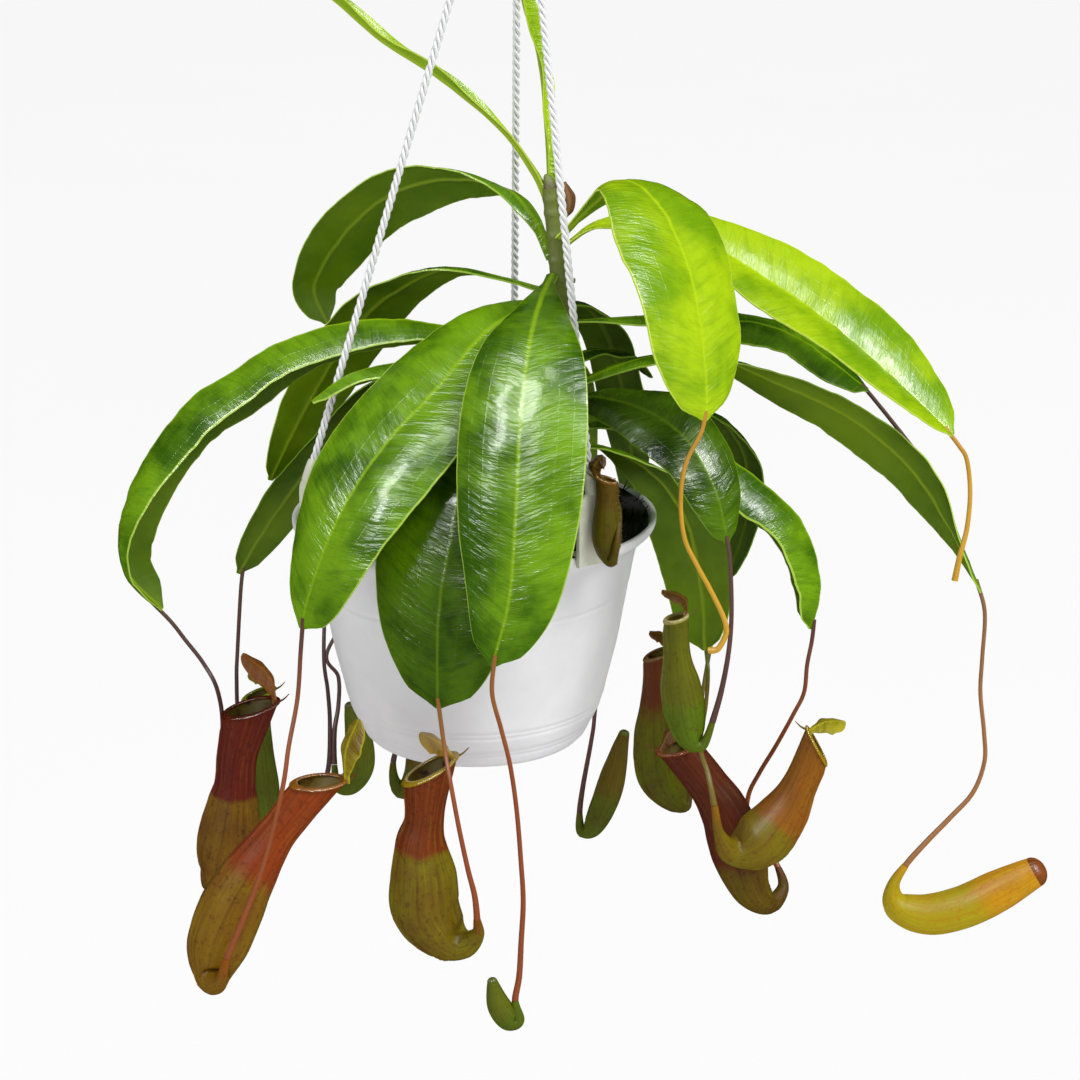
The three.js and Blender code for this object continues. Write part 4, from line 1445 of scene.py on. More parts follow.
@dataclass(frozen=True)
class Soil:
    """Damp dark mix, heaped to the lip, with bits of bark, grit and fibres lying on it."""

    SIDES = 120
    ROWS = 40
    CHIPS = 300
    FIBRES = 460
    REACH = (79, 86)  # mm from the middle, for chips and fibres
    CHIP = ((-1.0, 0.8), (-0.4, 1.0), (0.5, 0.95), (1.0, 0.7))  # height and width of each ring
    CHIP_SIDES = 7
    SEEDS = (11, 5)  # for chips and fibres
    LEVEL = -1.7
    UPHILL = 2.2  # how much higher its far edge lies than its middle
    LUMPS = 0.7
    EDGE = 88  # mm from the middle, where the lumps have died away
    MIX, BARK, GRIT = range(3)
    SIDE = ((87.2, -3.4), (86.3, -5.2), (79.3, -13.2), (78.9, -16), (75.5, -32), (72.5, -48), (69.5, -65),
            (65, -84), (61.5, -97.2), (55, -109.6), (49, -113.2))

    def height(self, x: float, y: float) -> float:
        """The soil's level.

        Args:
            x: How far to the right of the pot's middle.
            y: How far behind it.

        Returns:
            The height in millimetres.
        """
        far = math.hypot(x, y)
        lumps = 1.6 * noise.noise(Vector((x, y, 3.0)) * 0.09) + 1.2 * noise.noise(Vector((x, y, 9.0)) * 0.3)
        calm = min(1.0, (self.EDGE - far) / 10)
        return self.LEVEL + self.UPHILL * y / self.EDGE + self.LUMPS * lumps * calm

    def build(self) -> None:
        """Makes the soil."""
        skin = Skin()
        rows = []
        for k in range(1, self.ROWS + 1):
            r = self.SIDE[0][0] * k / self.ROWS
            spots = [(r * math.cos(a), r * math.sin(a)) for a in turns(self.SIDES)]
            rows.append([Vector((x, y, self.height(x, y))) for x, y in spots])
        rows += [[around_z(r, a, z) for a in turns(self.SIDES)] for r, z in self.SIDE]
        skin.body(rows)
        self._scatter(skin, random.Random(self.SEEDS[0]))
        self._fibres(skin, random.Random(self.SEEDS[1]))
        finishes = [
            PottingMix("dark_potting_mix", srgb(10, 8, 6), srgb(34, 28, 22)).make(),
            PottingMix("bark_bits", srgb(22, 16, 12), srgb(62, 46, 32)).make(),
            PottingMix("moss_and_grit", srgb(44, 44, 24), srgb(104, 96, 74)).make(),
        ]
        skin.seat("soil", "soil", finishes, 30.0)

    def _scatter(self, skin: Skin, dice: random.Random) -> None:
        """Lays flat chips and small lumps on the soil.

        Args:
            skin: The mesh.
            dice: The random numbers.
        """
        for _ in range(self.CHIPS):
            far, turn = self.REACH[0] * math.sqrt(dice.random()), dice.uniform(0, 2 * math.pi)
            x, y = far * math.cos(turn), far * math.sin(turn)
            big = dice.uniform(1.2, 4.6) if dice.random() < 0.6 else dice.uniform(0.8, 1.6)
            size = Vector((big, big * dice.uniform(0.4, 0.8), big * dice.uniform(0.18, 0.4)))
            spin = Matrix.Rotation(dice.uniform(0, 2 * math.pi), 3, "Z") @ Matrix.Rotation(
                dice.uniform(-0.5, 0.5), 3, "X") @ Matrix.Rotation(dice.uniform(-0.4, 0.4), 3, "Y")
            at = Vector((x, y, self.height(x, y) + size.z * 0.35))
            rows = []
            for level, shrink in self.CHIP:
                rows.append([at + spin @ Vector((
                    size.x * shrink * math.cos(a) * dice.uniform(0.82, 1.15),
                    size.y * shrink * math.sin(a) * dice.uniform(0.82, 1.15),
                    size.z * level)) for a in turns(self.CHIP_SIDES)])
            skin.body(rows, self.GRIT if dice.random() < 0.08 else self.BARK)

    def _fibres(self, skin: Skin, dice: random.Random) -> None:
        """Lets short dark fibres stand out of the mix, most of them towards the rim.

        Args:
            skin: The mesh.
            dice: The random numbers.
        """
        for _ in range(self.FIBRES):
            far, turn = self.REACH[1] * dice.random() ** 0.25, dice.uniform(0, 2 * math.pi)
            foot = around_z(far, turn, 0.0)
            foot.z = self.height(foot.x, foot.y) - 0.5
            lean = turn + dice.uniform(-1.4, 1.4)
            reach = min(dice.uniform(2, 6), self.EDGE + 0.5 - far)
            tip = foot + around_z(reach, lean, dice.uniform(2.0, 6.5))
            sway = Vector([dice.uniform(low, high) for low, high in ((-1, 1), (-1, 1), (0, 1.2))])
            skin.tube(Spine([foot, (foot + tip) / 2 + sway, tip]), lambda s: 0.42 - 0.25 * s, 5, 6, self.MIX)


@dataclass(frozen=True)
class Stem:
    """The climbing stem, ringed where leaves have grown, with a dry bract and a broken stalk."""

    PATH = ((34, 6, -42), (41, 4, 17), (43, 2, 47), (43, 0, 93), (42, 0, 123), (38, 0, 163))
    TIP = ((38.4, 0, 160), (37.4, 0.4, 165.5), (35.6, 1.0, 169.5))
    STALK = ((42, 0, 117), (46.5, -1.2, 118.2), (50, -2, 118))
    BRACT = ((43, -1, 147), (46.5, -2, 156), (44, -2, 166))
    JOINTS = (18, 31, 43, 51, 62, 72, 78, 91, 103, 111, 118, 128, 140, 151, 158)  # heights
    SWELLING = (0.45, 1.4)  # how far a joint stands out, and half its height

    def build(self) -> None:
        """Makes the stem and the bract."""
        spine = Spine(self.PATH)
        out, half = self.SWELLING

        def thick(s: float) -> float:
            """The stem's radius, swollen a little at each joint."""
            high = spine.at(s).z
            return 6 - 2 * s + out * sum(math.exp(-((high - joint) / half) ** 2) for joint in self.JOINTS)
        skin = Skin()
        skin.tube(spine, thick, 28, 170)
        skin.tube(Spine(self.STALK), lambda s: 1.5 - 0.3 * s, 12, 10)
        skin.tube(Spine(self.TIP), lambda s: 3.5 * math.sqrt(max(1 - s, 0.0)) + 0.4, 20, 14)
        skin.seat("stem", "stem", [StemBark().make()])
        dry = Skin()
        Blade(self.BRACT, 4, belly=0.5, blunt=0.6, foot=2, wave=0.3, nerve=0.3).lay(dry, 24, 0, 1)
        dull = [srgb(*colour) for colour in DRY]
        husk = BladeFace("dry_bract", *dull[:4], 0.7, 0.0)
        back = BladeBack("dry_bract_back", *dull[4:])
        dry.seat("bract", "bract", [husk.make(), back.make()])


# ------------------------------------------------------------------ cords, clips, knot and hook
@dataclass(frozen=True)
class Hanger:
    """Three taut cords of three strands each, from clips on the rim to a knot under a hook."""

    KNOT = Vector((23.0, 0.0, 356.0))
    ANGLES = {"left": -147.0, "right": -52.0, "rear": 78.0}
    RIM = 91.3  # where a clip's plate starts
    PLATE = 2.6
    CLIP = (8.0, -4.0, 24.0)  # half its width, its foot and the middle of its round top
    LAP = (6.4, 0.3, 2.3)  # half its width, its underside and its top
    ABOVE = 32.0  # how high over the rim a cord starts
    CLEAR_OF_CLIP = 2.3
    CLEAR_OF_KNOT = 8.8
    RADIUS = 2.0
    PITCH = 13.0
    STEP = 1.02  # between two sections of a cord
    STRANDS = 3
    STRAND_SIDES = 9
    KNOT_STEPS = 150
    BOW = ((0, 0, -43.2), (0, 0, -30), (2, 0, -22), (11.2, 0, -9), (6.48, 0, -1.8), (0, 0, 2.2),
           (-6.48, 0, -1.8), (-11.2, 0, -9), (-10, 0, -16))

    def build(self) -> None:
        """Makes the clips, cords, knot and hook."""
        fibre = StrandFibre().make()
        plastic = MouldedPlastic("clip_plastic", srgb(228, 230, 210), srgb(206, 208, 188)).make()
        knot = self._knot(fibre)
        hook = self._hook(plastic)
        for side, degrees in self.ANGLES.items():
            turn = math.radians(degrees)
            foot = around_z(self.RIM + self.PLATE / 2, turn, self.ABOVE)
            run = (foot - self.KNOT).normalized()
            end = foot - run * self.CLEAR_OF_CLIP
            self._clip(side, turn, end, run, plastic)
            self._cord(side, end, self.KNOT + run * self.CLEAR_OF_KNOT, fibre)

    def _cord(self, side: str, start: Vector, stop: Vector, fibre: bpy.types.Material) -> None:
        """One cord, laid up of three strands, from its clip to the knot.

        Args:
            side: Which of the three it is.
            start: Its end at the clip.
            stop: Its end at the knot.
            fibre: Its material.
        """
        length = (stop - start).length
        count = round(length / self.STEP)
        centres = [start.lerp(stop, i / count) for i in range(count + 1)]
        skin = Skin()
        self.lay_strands(skin, centres)
        piece = skin.seat(f"cord_{side}", "cord", [fibre])
        path = [rim_middle() + p * MM for p in centres]
        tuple(path[0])

    def lay_strands(self, skin: Skin, centres: Sequence[Vector], closed: bool = False,
                    rounds: float | None = None) -> None:
        """Adds strands twisted round a line of centres.

        Args:
            skin: The mesh.
            centres: Evenly spaced points of the line.
            closed: Whether the line runs back to its start.
            rounds: Whole turns of the lay, which otherwise follows from its pitch.
        """
        strand, sides = 0.464 * self.RADIUS, self.STRAND_SIDES
        step = (centres[1] - centres[0]).length
        total = step * (len(centres) - 1)
        for number in range(self.STRANDS):
            rows = []
            for i, centre in enumerate(centres):
                ahead = centres[(i + 1) % len(centres)] if closed else centres[min(i + 1, len(centres) - 1)]
                behind = centres[i - 1] if closed else centres[max(i - 1, 0)]
                along = (ahead - behind).normalized()
                side, other = square_to(along)
                wound = rounds * i / len(centres) if rounds else step * i / self.PITCH
                lay = (wound + number / self.STRANDS) * (2 * math.pi)
                out = side * math.cos(lay) + other * math.sin(lay)
                over = other * math.cos(lay) - side * math.sin(lay)
                rows.append([centre + out * (self.RADIUS - strand + strand * math.cos(a))
                             + over * (strand * math.sin(a)) for a in turns(sides)])
            skin.weave(rows, looped=closed, span=lambda i, j: (
                0.01 + 0.01 * math.cos(2 * math.pi * j / sides), step * i / DECIMETRE))
            if not closed:
                skin.cap(rows[0], 0, flip=True)
                skin.cap(rows[-1], 0, at=total / DECIMETRE)

    def _clip(self, side: str, turn: float, end: Vector, run: Vector, plastic: bpy.types.Material) -> None:
        """A round-topped plate outside the rim, its lap over it, and the sleeve that grips the cord.

        Args:
            side: Which of the three it is.
            turn: The direction that it stands in, in radians.
            end: The cord's end.
            run: The cord's direction, downwards.
            plastic: Its material.
        """
        spin = Matrix.Rotation(turn, 3, "Z")
        half, foot, top = self.CLIP
        outline = [(-half, foot), (0.0, foot), (half, foot), (half, 6.0), (half, 16.0)]
        outline += [(half * math.cos(math.pi * k / 24), top + half * math.sin(math.pi * k / 24))
                    for k in range(25)]
        outline += [(-half, 16.0), (-half, 6.0)]
        skin = Skin()
        self._slab(skin, spin, outline, self.RIM, self.PLATE)
        half, under, top = self.LAP
        lap = [(-half, under), (half, under), (half, top), (-half, top)]
        self._slab(skin, spin, lap, self.RIM - 5.0, 6.0, 0.35)
        sleeve = Spine([end + run * 3.4, end - run * 1.5, end - run * 7.0])
        skin.tube(sleeve, lambda s: 3.1 - 0.5 * s ** 4, 24, 12)
        skin.seat(f"clip_{side}", "clip", [plastic], 35.0)

    @staticmethod
    def _slab(skin: Skin, spin: Matrix, outline: Sequence[Point], near: float, thick: float,
              bevel: float = 0.6) -> None:
        """A plate that stands square to the pot's radius, with eased edges.

        Args:
            skin: The mesh.
            spin: Its turn round the pot.
            outline: Its convex outline, across and up.
            near: How far from the pot's middle it starts.
            thick: Its thickness.
            bevel: How much its edges are eased.
        """
        middle = Vector((0, *(sum(column) / len(outline) for column in zip(*outline))))
        rows = []
        for depth, inset in ((0.0, bevel), (bevel * 0.3, bevel * 0.3), (bevel, 0.0), (thick - bevel, 0.0),
                             (thick - bevel * 0.3, bevel * 0.3), (thick, bevel)):
            row = []
            for y, z in outline:
                arm = Vector((0, y, z)) - middle
                p = middle + arm * (1 - inset / arm.length)
                row.append(spin @ Vector((near + depth, p.y, p.z)))
            rows.append(row)
        skin.body(rows)

    def _knot(self, fibre: bpy.types.Material) -> bpy.types.Object:
        """The cords' knot, as one overhand turn drawn tight.

        Args:
            fibre: Its material.

        Returns:
            The knot.
        """
        centres = []
        for a in turns(self.KNOT_STEPS):
            far = 3.9 + 2.2 * math.cos(3 * a)
            centres.append(self.KNOT + Vector((far * math.cos(2 * a), 2.5 * math.sin(3 * a),
                                               far * math.sin(2 * a))))
        skin = Skin()
        self.lay_strands(skin, centres, closed=True, rounds=6.0)
        core = Spine([self.KNOT + Vector((0, 0, z)) for z in (-7.6, -3.0, 3.0, 7.6)])
        skin.tube(core, lambda s: 0.6 + 4.6 * math.sin(math.pi * s) ** 0.6, 24, 24)
        return skin.seat("knot", "cord", [fibre])

    def _hook(self, plastic: bpy.types.Material) -> bpy.types.Object:
        """The hook, whose bow bears on its bar at the world's origin.

        Args:
            plastic: Its material.

        Returns:
            The hook.
        """
        skin = Skin()
        skin.tube(Spine(self.BOW), lambda s: 2.2 * min(1.0, 0.35 + 40 * min(s, 1 - s)) ** 0.5, 20, 130)
        return skin.seat("hook", "hook", [plastic], origin=Vector())


# ------------------------------------------------------------------ studio
@dataclass(frozen=True)
class Studio:
    """The camera, a pale floor far below, a white sky, a soft sun and lamps that only gleam.

    The sky and the floor aren't mirrored in glossy skins. The lamps are, and do nothing else.
    """

    SKY = 0.68
    SUN = 1.6
    SUN_SOFTNESS = 24  # degrees
    SUN_TURN = (24, 32, 0)  # degrees
    LAMPS = {  # place and size in metres, power in watts
        "left_window": ((-0.75, -0.95, 0.75), (0.26, 0.9), 38.0),
        "right_window": ((0.8, -0.9, 0.9), (0.3, 0.5), 22.0),
        "high_light": ((-0.1, -0.5, 1.2), (0.3, 0.3), 8.0),
    }
    AIM = Vector((0.0, 0.0, -0.4))
    LENS = 86.67
    CAMERA = (0.010, -1.244, -0.0304)
    TILT = 72.5  # degrees from straight down
    FLOOR = (30.0, -1.5)  # half its width, and its height, in metres

    def build(self) -> None:
        """Makes them all."""
        self._camera()
        self._floor()
        world = bpy.context.scene.world or bpy.data.worlds.new("studio")
        bpy.context.scene.world = world
        world.use_nodes = True
        sky = world.node_tree.nodes.get("Background")
        sky.inputs["Color"].default_value = (1.0, 1.0, 1.0, 1.0)
        sky.inputs["Strength"].default_value = self.SKY
        world.cycles_visibility.glossy = False
        bpy.context.scene.view_settings.view_transform = "Standard"
        self._sun()
        for name, (place, size, power) in self.LAMPS.items():
            self._lamp(name, place, size, power)

    def _camera(self) -> None:
        """A long lens, a little above the pot."""
        data = bpy.data.cameras.new("front")
        data.lens = self.LENS
        data.sensor_width = 36.0
        data.clip_end = 100.0
        camera = bpy.data.objects.new("front", data)
        camera.location = self.CAMERA
        camera.rotation_euler = (math.radians(self.TILT), 0.0, 0.0)
        bpy.context.collection.objects.link(camera)
        bpy.context.scene.camera = camera

    def _floor(self) -> None:
        """A wide pale floor."""
        mesh = bpy.data.meshes.new("floor")
        wide, low = self.FLOOR
        corners = [(-wide, -wide, low), (wide, -wide, low), (wide, wide, low), (-wide, wide, low)]
        mesh.from_pydata(corners, [], [(0, 1, 2, 3)])
        mesh.materials.append(StudioPaper().make())
        floor = bpy.data.objects.new("floor", mesh)
        floor.visible_glossy = False
        bpy.context.collection.objects.link(floor)
        floor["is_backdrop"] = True

    def _sun(self) -> None:
        """A soft light from the upper right, which lights the wide floor evenly too."""
        data = bpy.data.lights.new("skylight", "SUN")
        data.energy = self.SUN
        data.angle = math.radians(self.SUN_SOFTNESS)
        sun = bpy.data.objects.new("skylight", data)
        sun.rotation_euler = [math.radians(turn) for turn in self.SUN_TURN]
        bpy.context.collection.objects.link(sun)
        sun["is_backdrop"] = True

    def _lamp(self, name: str, place: Point, size: Point, power: float) -> None:
        """A pane of light that faces the pot and only shows as a gleam on glossy skins.

        Args:
            name: Its name.
            place: Where it stands, in metres.
            size: Its width and height, in metres.
            power: Its power, in watts.
        """
        data = bpy.data.lights.new(name, "AREA")
        data.shape = "RECTANGLE"
        data.size, data.size_y = size
        data.energy = power
        lamp = bpy.data.objects.new(name, data)
        lamp.location = place
        lamp.rotation_euler = (self.AIM - Vector(place)).to_track_quat("-Z", "Y").to_euler()
        lamp.visible_diffuse = False
        bpy.context.collection.objects.link(lamp)
        lamp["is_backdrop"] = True


# ------------------------------------------------------------------ the plant's own pieces
LEAVES = {
    "leaf_front": Leaf(
        Blade([[39, -4, 122], [33, -46, 117], [28, -88, 105], [24, -114, 73], [22, -127, 35],
            [19, -131, -2], [11, -128, -35]], half=31, belly=0.54, blunt=0.45, taper=1.2),
        tendril=[[11, -127, -48], [15, -124, -67], [19, -121, -86], [22, -118, -110], [24, -116, -138],
            [25, -115, -159], [24, -114, -180], [23, -113, -199]], vine="orange"),
    "leaf_front_left": Leaf(
        Blade([[41, -3, 109], [11, -34, 103], [-15, -70, 81], [-38, -90, 60], [-56, -102, 35],
            [-69, -104, 6], [-79, -98, -27]], half=32, belly=0.5, blunt=0.42, roll=[22, 22, 8], fold=[8]),
        tendril=[[-79, -99, -38], [-81, -101, -61], [-85, -108, -82], [-88, -113, -101], [-96, -115, -133],
            [-102, -116, -151], [-110, -117, -171]], vine="rust"),
    "leaf_front_low": Leaf(
        Blade([[42, -3, 63], [16, -50, 63], [-1, -89, 47], [-9, -105, 14], [-14, -108, -19],
            [-15, -106, -64]], half=38, belly=0.62, blunt=0.45, roll=[8], fold=[8]),
        tendril=[[-12, -108, -82], [-9, -116, -97], [-5, -120, -119], [-1, -120, -140], [2, -119, -154]],
            tone=Tone.SHADED, vine="orange"),
    "leaf_left_long": Leaf(
        Blade([[42, 1, 91], [-3, 4, 93], [-36, 6, 97], [-63, 8, 95], [-96, 6, 85], [-121, 2, 70],
            [-142, -2, 56], [-165, -6, 25], [-177, -6, -7], [-175, -4, -31], [-159, 0, -52]], half=23,
            belly=0.55, blunt=0.35, roll=[-10, -20, -20, -20], fold=[20, 55, 60, 35]),
        tendril=[[-154, 0, -58], [-147, 0, -68], [-138, -2, -80], [-131, -6, -93], [-131, 8, -120],
            [-136, 12, -155], [-142, 12, -184]]),
    "leaf_left_back": Leaf(
        Blade([[40, 4, 111], [16, 14, 116], [-12, 30, 118], [-35, 46, 106], [-56, 58, 88], [-76, 68, 59],
            [-95, 74, 25], [-110, 76, -5]], half=20, belly=0.62, head=135, roll=[0, -22, -20, -10])),
    "leaf_left_low": Leaf(
        Blade([[41, 6, 84], [-2, 30, 78], [-39, 52, 59], [-69, 70, 28], [-94, 80, -5], [-116, 82, -37],
            [-129, 82, -59]], half=18, blunt=0.45, head=135, roll=[0, -8, -20]),
        tendril=[[-128, 82, -69], [-131, 82, -104], [-132, 82, -119], [-133, 90, -147], [-131, 94, -178],
            [-126, 92, -199]], tone=Tone.SHADED),
    "leaf_left_high": Leaf(
        Blade([[39, 4, 128], [29, 8, 148], [13, 20, 161], [-17, 44, 160], [-46, 66, 147], [-70, 82, 123],
            [-85, 90, 96], [-79, 90, 76]], half=21, blunt=0.42, head=140, roll=[35, -40, -30, -15]),
        tone=Tone.WELL_LIT),
    "leaf_left_small": Leaf(
        Blade([[41, -4, 78], [-1, -29, 88], [-33, -41, 87], [-57, -49, 83], [-75, -53, 71]], half=10,
            roll=[-20], fold=[40])),
    "leaf_young_rolled": Leaf(
        Blade([[37, 1, 155], [30, 3, 170], [14, 8, 191], [-15, 14, 214], [-44, 20, 232], [-72, 24, 255],
            [-100, 26, 268]], half=5, fold=[-50], foot=2.5),
        tone=Tone.YOUNG),
    "leaf_young_upright": Leaf(
        Blade([[38, 2, 164], [36, 8, 194], [33, 12, 222], [25, 14, 251], [21, 16, 278]], half=6,
            fold=[-40]),
        tone=Tone.YOUNG),
    "leaf_right_bright": Leaf(
        Blade([[42, -4, 140], [57, -14, 157], [72, -26, 171], [86, -44, 165], [96, -60, 150],
            [103, -74, 131], [107, -84, 109], [109, -89, 86], [109, -90, 71]], half=34, taper=1,
            roll=[0, 0, 8, 0], fold=[8]),
        tendril=[[107, -91, 66], [100, -92, 51], [98, -93, 34], [100, -94, 16], [106, -95, 3],
            [112, -96, -8], [118, -98, -20], [120, -99, -27], [119, -99, -32], [116, -99, -37],
            [112, -98, -38]], tone=Tone.YOUNG, vine="amber"),
    "leaf_right_outer": Leaf(
        Blade([[41, 2, 132], [62, 10, 143], [101, 12, 140], [141, 4, 119], [176, -10, 97], [208, -24, 71],
            [232, -34, 49]], half=29, belly=0.62, blunt=0.48, roll=[-5, -25, -25, -22], fold=[-5, -16]),
        tendril=[[235, -35, 44], [239, -36, 37], [241, -38, 21], [240, -40, 4], [237, -42, -9],
            [235, -42, -22]], tone=Tone.YOUNG, vine="amber"),
    "leaf_right_long": Leaf(
        Blade([[42, 2, 62], [82, 10, 76], [117, 14, 77], [152, 14, 63], [187, 10, 47], [219, 4, 21],
            [242, -2, -14], [255, -6, -40]], half=18, belly=0.55, blunt=0.42, roll=[-25, 10, 45, 45, 0]),
        tendril=[[257, -6, -51], [257, -6, -75], [257, -6, -94], [260, -6, -116], [261, -6, -132],
            [256, -6, -149], [245, -6, -163], [233, -6, -177]], vine="pink"),
    "leaf_right_back": Leaf(
        Blade([[42, 2, 97], [83, 20, 95], [123, 30, 92], [159, 34, 83], [199, 32, 55]], half=20,
            belly=0.62, roll=[10, -10, -30]),
        tendril=[[202, 32, 50], [216, 30, 33], [229, 28, 16], [235, 28, 5], [241, 28, -8]]),
    "leaf_right_front": Leaf(
        Blade([[42, -4, 58], [62, -20, 64], [86, -42, 62], [104, -58, 51], [116, -68, 30], [122, -70, 6]],
            half=20, belly=0.5, roll=[-10, -25, -20], fold=[5]),
        tendril=[[123, -72, -2], [124, -76, -26], [123, -78, -45], [120, -78, -65]], tone=Tone.SHADED),
    "leaf_right_hanging": Leaf(
        Blade([[42, 2, 31], [64, 16, 30], [91, 36, 10], [110, 46, -20], [118, 48, -58], [120, 40, -88]],
            half=25, belly=0.62, blunt=0.45, head=52, fold=[8]),
        tendril=[[121, 34, -98], [118, 0, -102], [113, -38, -110], [116, -54, -119]], vine="green"),
    "leaf_right_low": Leaf(
        Blade([[42, -2, 43], [77, -12, 52], [111, -20, 43], [140, -26, 24], [161, -30, 4], [171, -30, -26],
            [168, -28, -52]], half=20, belly=0.55, blunt=0.4, roll=[5, 20], fold=[20, 55, 60]),
        tendril=[[168, -28, -58], [166, -28, -71], [165, -27, -86], [160, -25, -99], [153, -14, -120],
            [147, 8, -144], [142, 14, -160], [142, 14, -179], [151, 12, -187]], vine="rust"),
    "leaf_right_inner": Leaf(
        Blade([[42, 4, 51], [78, 26, 54], [116, 42, 43], [138, 54, 18], [142, 60, -19], [133, 64, -57]],
            half=18, belly=0.5),
        tendril=[[126, 58, -80], [119, 44, -114], [115, 31, -145]], tone=Tone.SHADED, vine="green"),
    "leaf_back_right": Leaf(
        Blade([[40, 6, 103], [53, 32, 100], [66, 58, 81], [76, 78, 46], [82, 86, 8], [85, 86, -31]],
            half=15, belly=0.5),
        tone=Tone.SHADED),
    "leaf_back_left": Leaf(
        Blade([[41, 6, 56], [10, 32, 54], [-26, 58, 38], [-54, 84, 2], [-72, 90, -36], [-84, 80, -74]],
            half=11, belly=0.55, head=130),
        tendril=[[-83, 68, -102], [-81, 64, -120], [-80, 60, -138], [-81, 52, -161], [-87, 44, -175]],
            vine="purple"),
    "leaf_back_low": Leaf(
        Blade([[41, 6, 36], [16, 42, 36], [-10, 74, 26], [-28, 102, 0], [-44, 112, -42], [-66, 104, -84]],
            half=12, belly=0.55, head=108),
        tendril=[[-83, 90, -107], [-77, 86, -120], [-77, 82, -135], [-79, 76, -148]]),
    "leaf_back": Leaf(
        Blade([[41, 6, 70], [39, 50, 70], [45, 92, 47], [47, 120, 4], [48, 126, -43], [49, 120, -87]],
            half=18, belly=0.55, head=90),
        tendril=[[54, 114, -118], [63, 106, -137], [63, 100, -151], [61, 96, -164], [57, 90, -185]]),
    "leaf_back_mid": Leaf(
        Blade([[41, 8, 45], [26, 40, 54], [5, 74, 46], [0, 104, 12], [-10, 120, -40], [-26, 112, -98]],
            half=11, belly=0.55, head=94),
        tendril=[[-38, 104, -135], [-44, 94, -157]]),
    "leaf_back_small": Leaf(
        Blade([[41, 4, 73], [58, 20, 78], [78, 38, 72], [90, 48, 58]], half=8, belly=0.5),
        tone=Tone.SHADED),
}

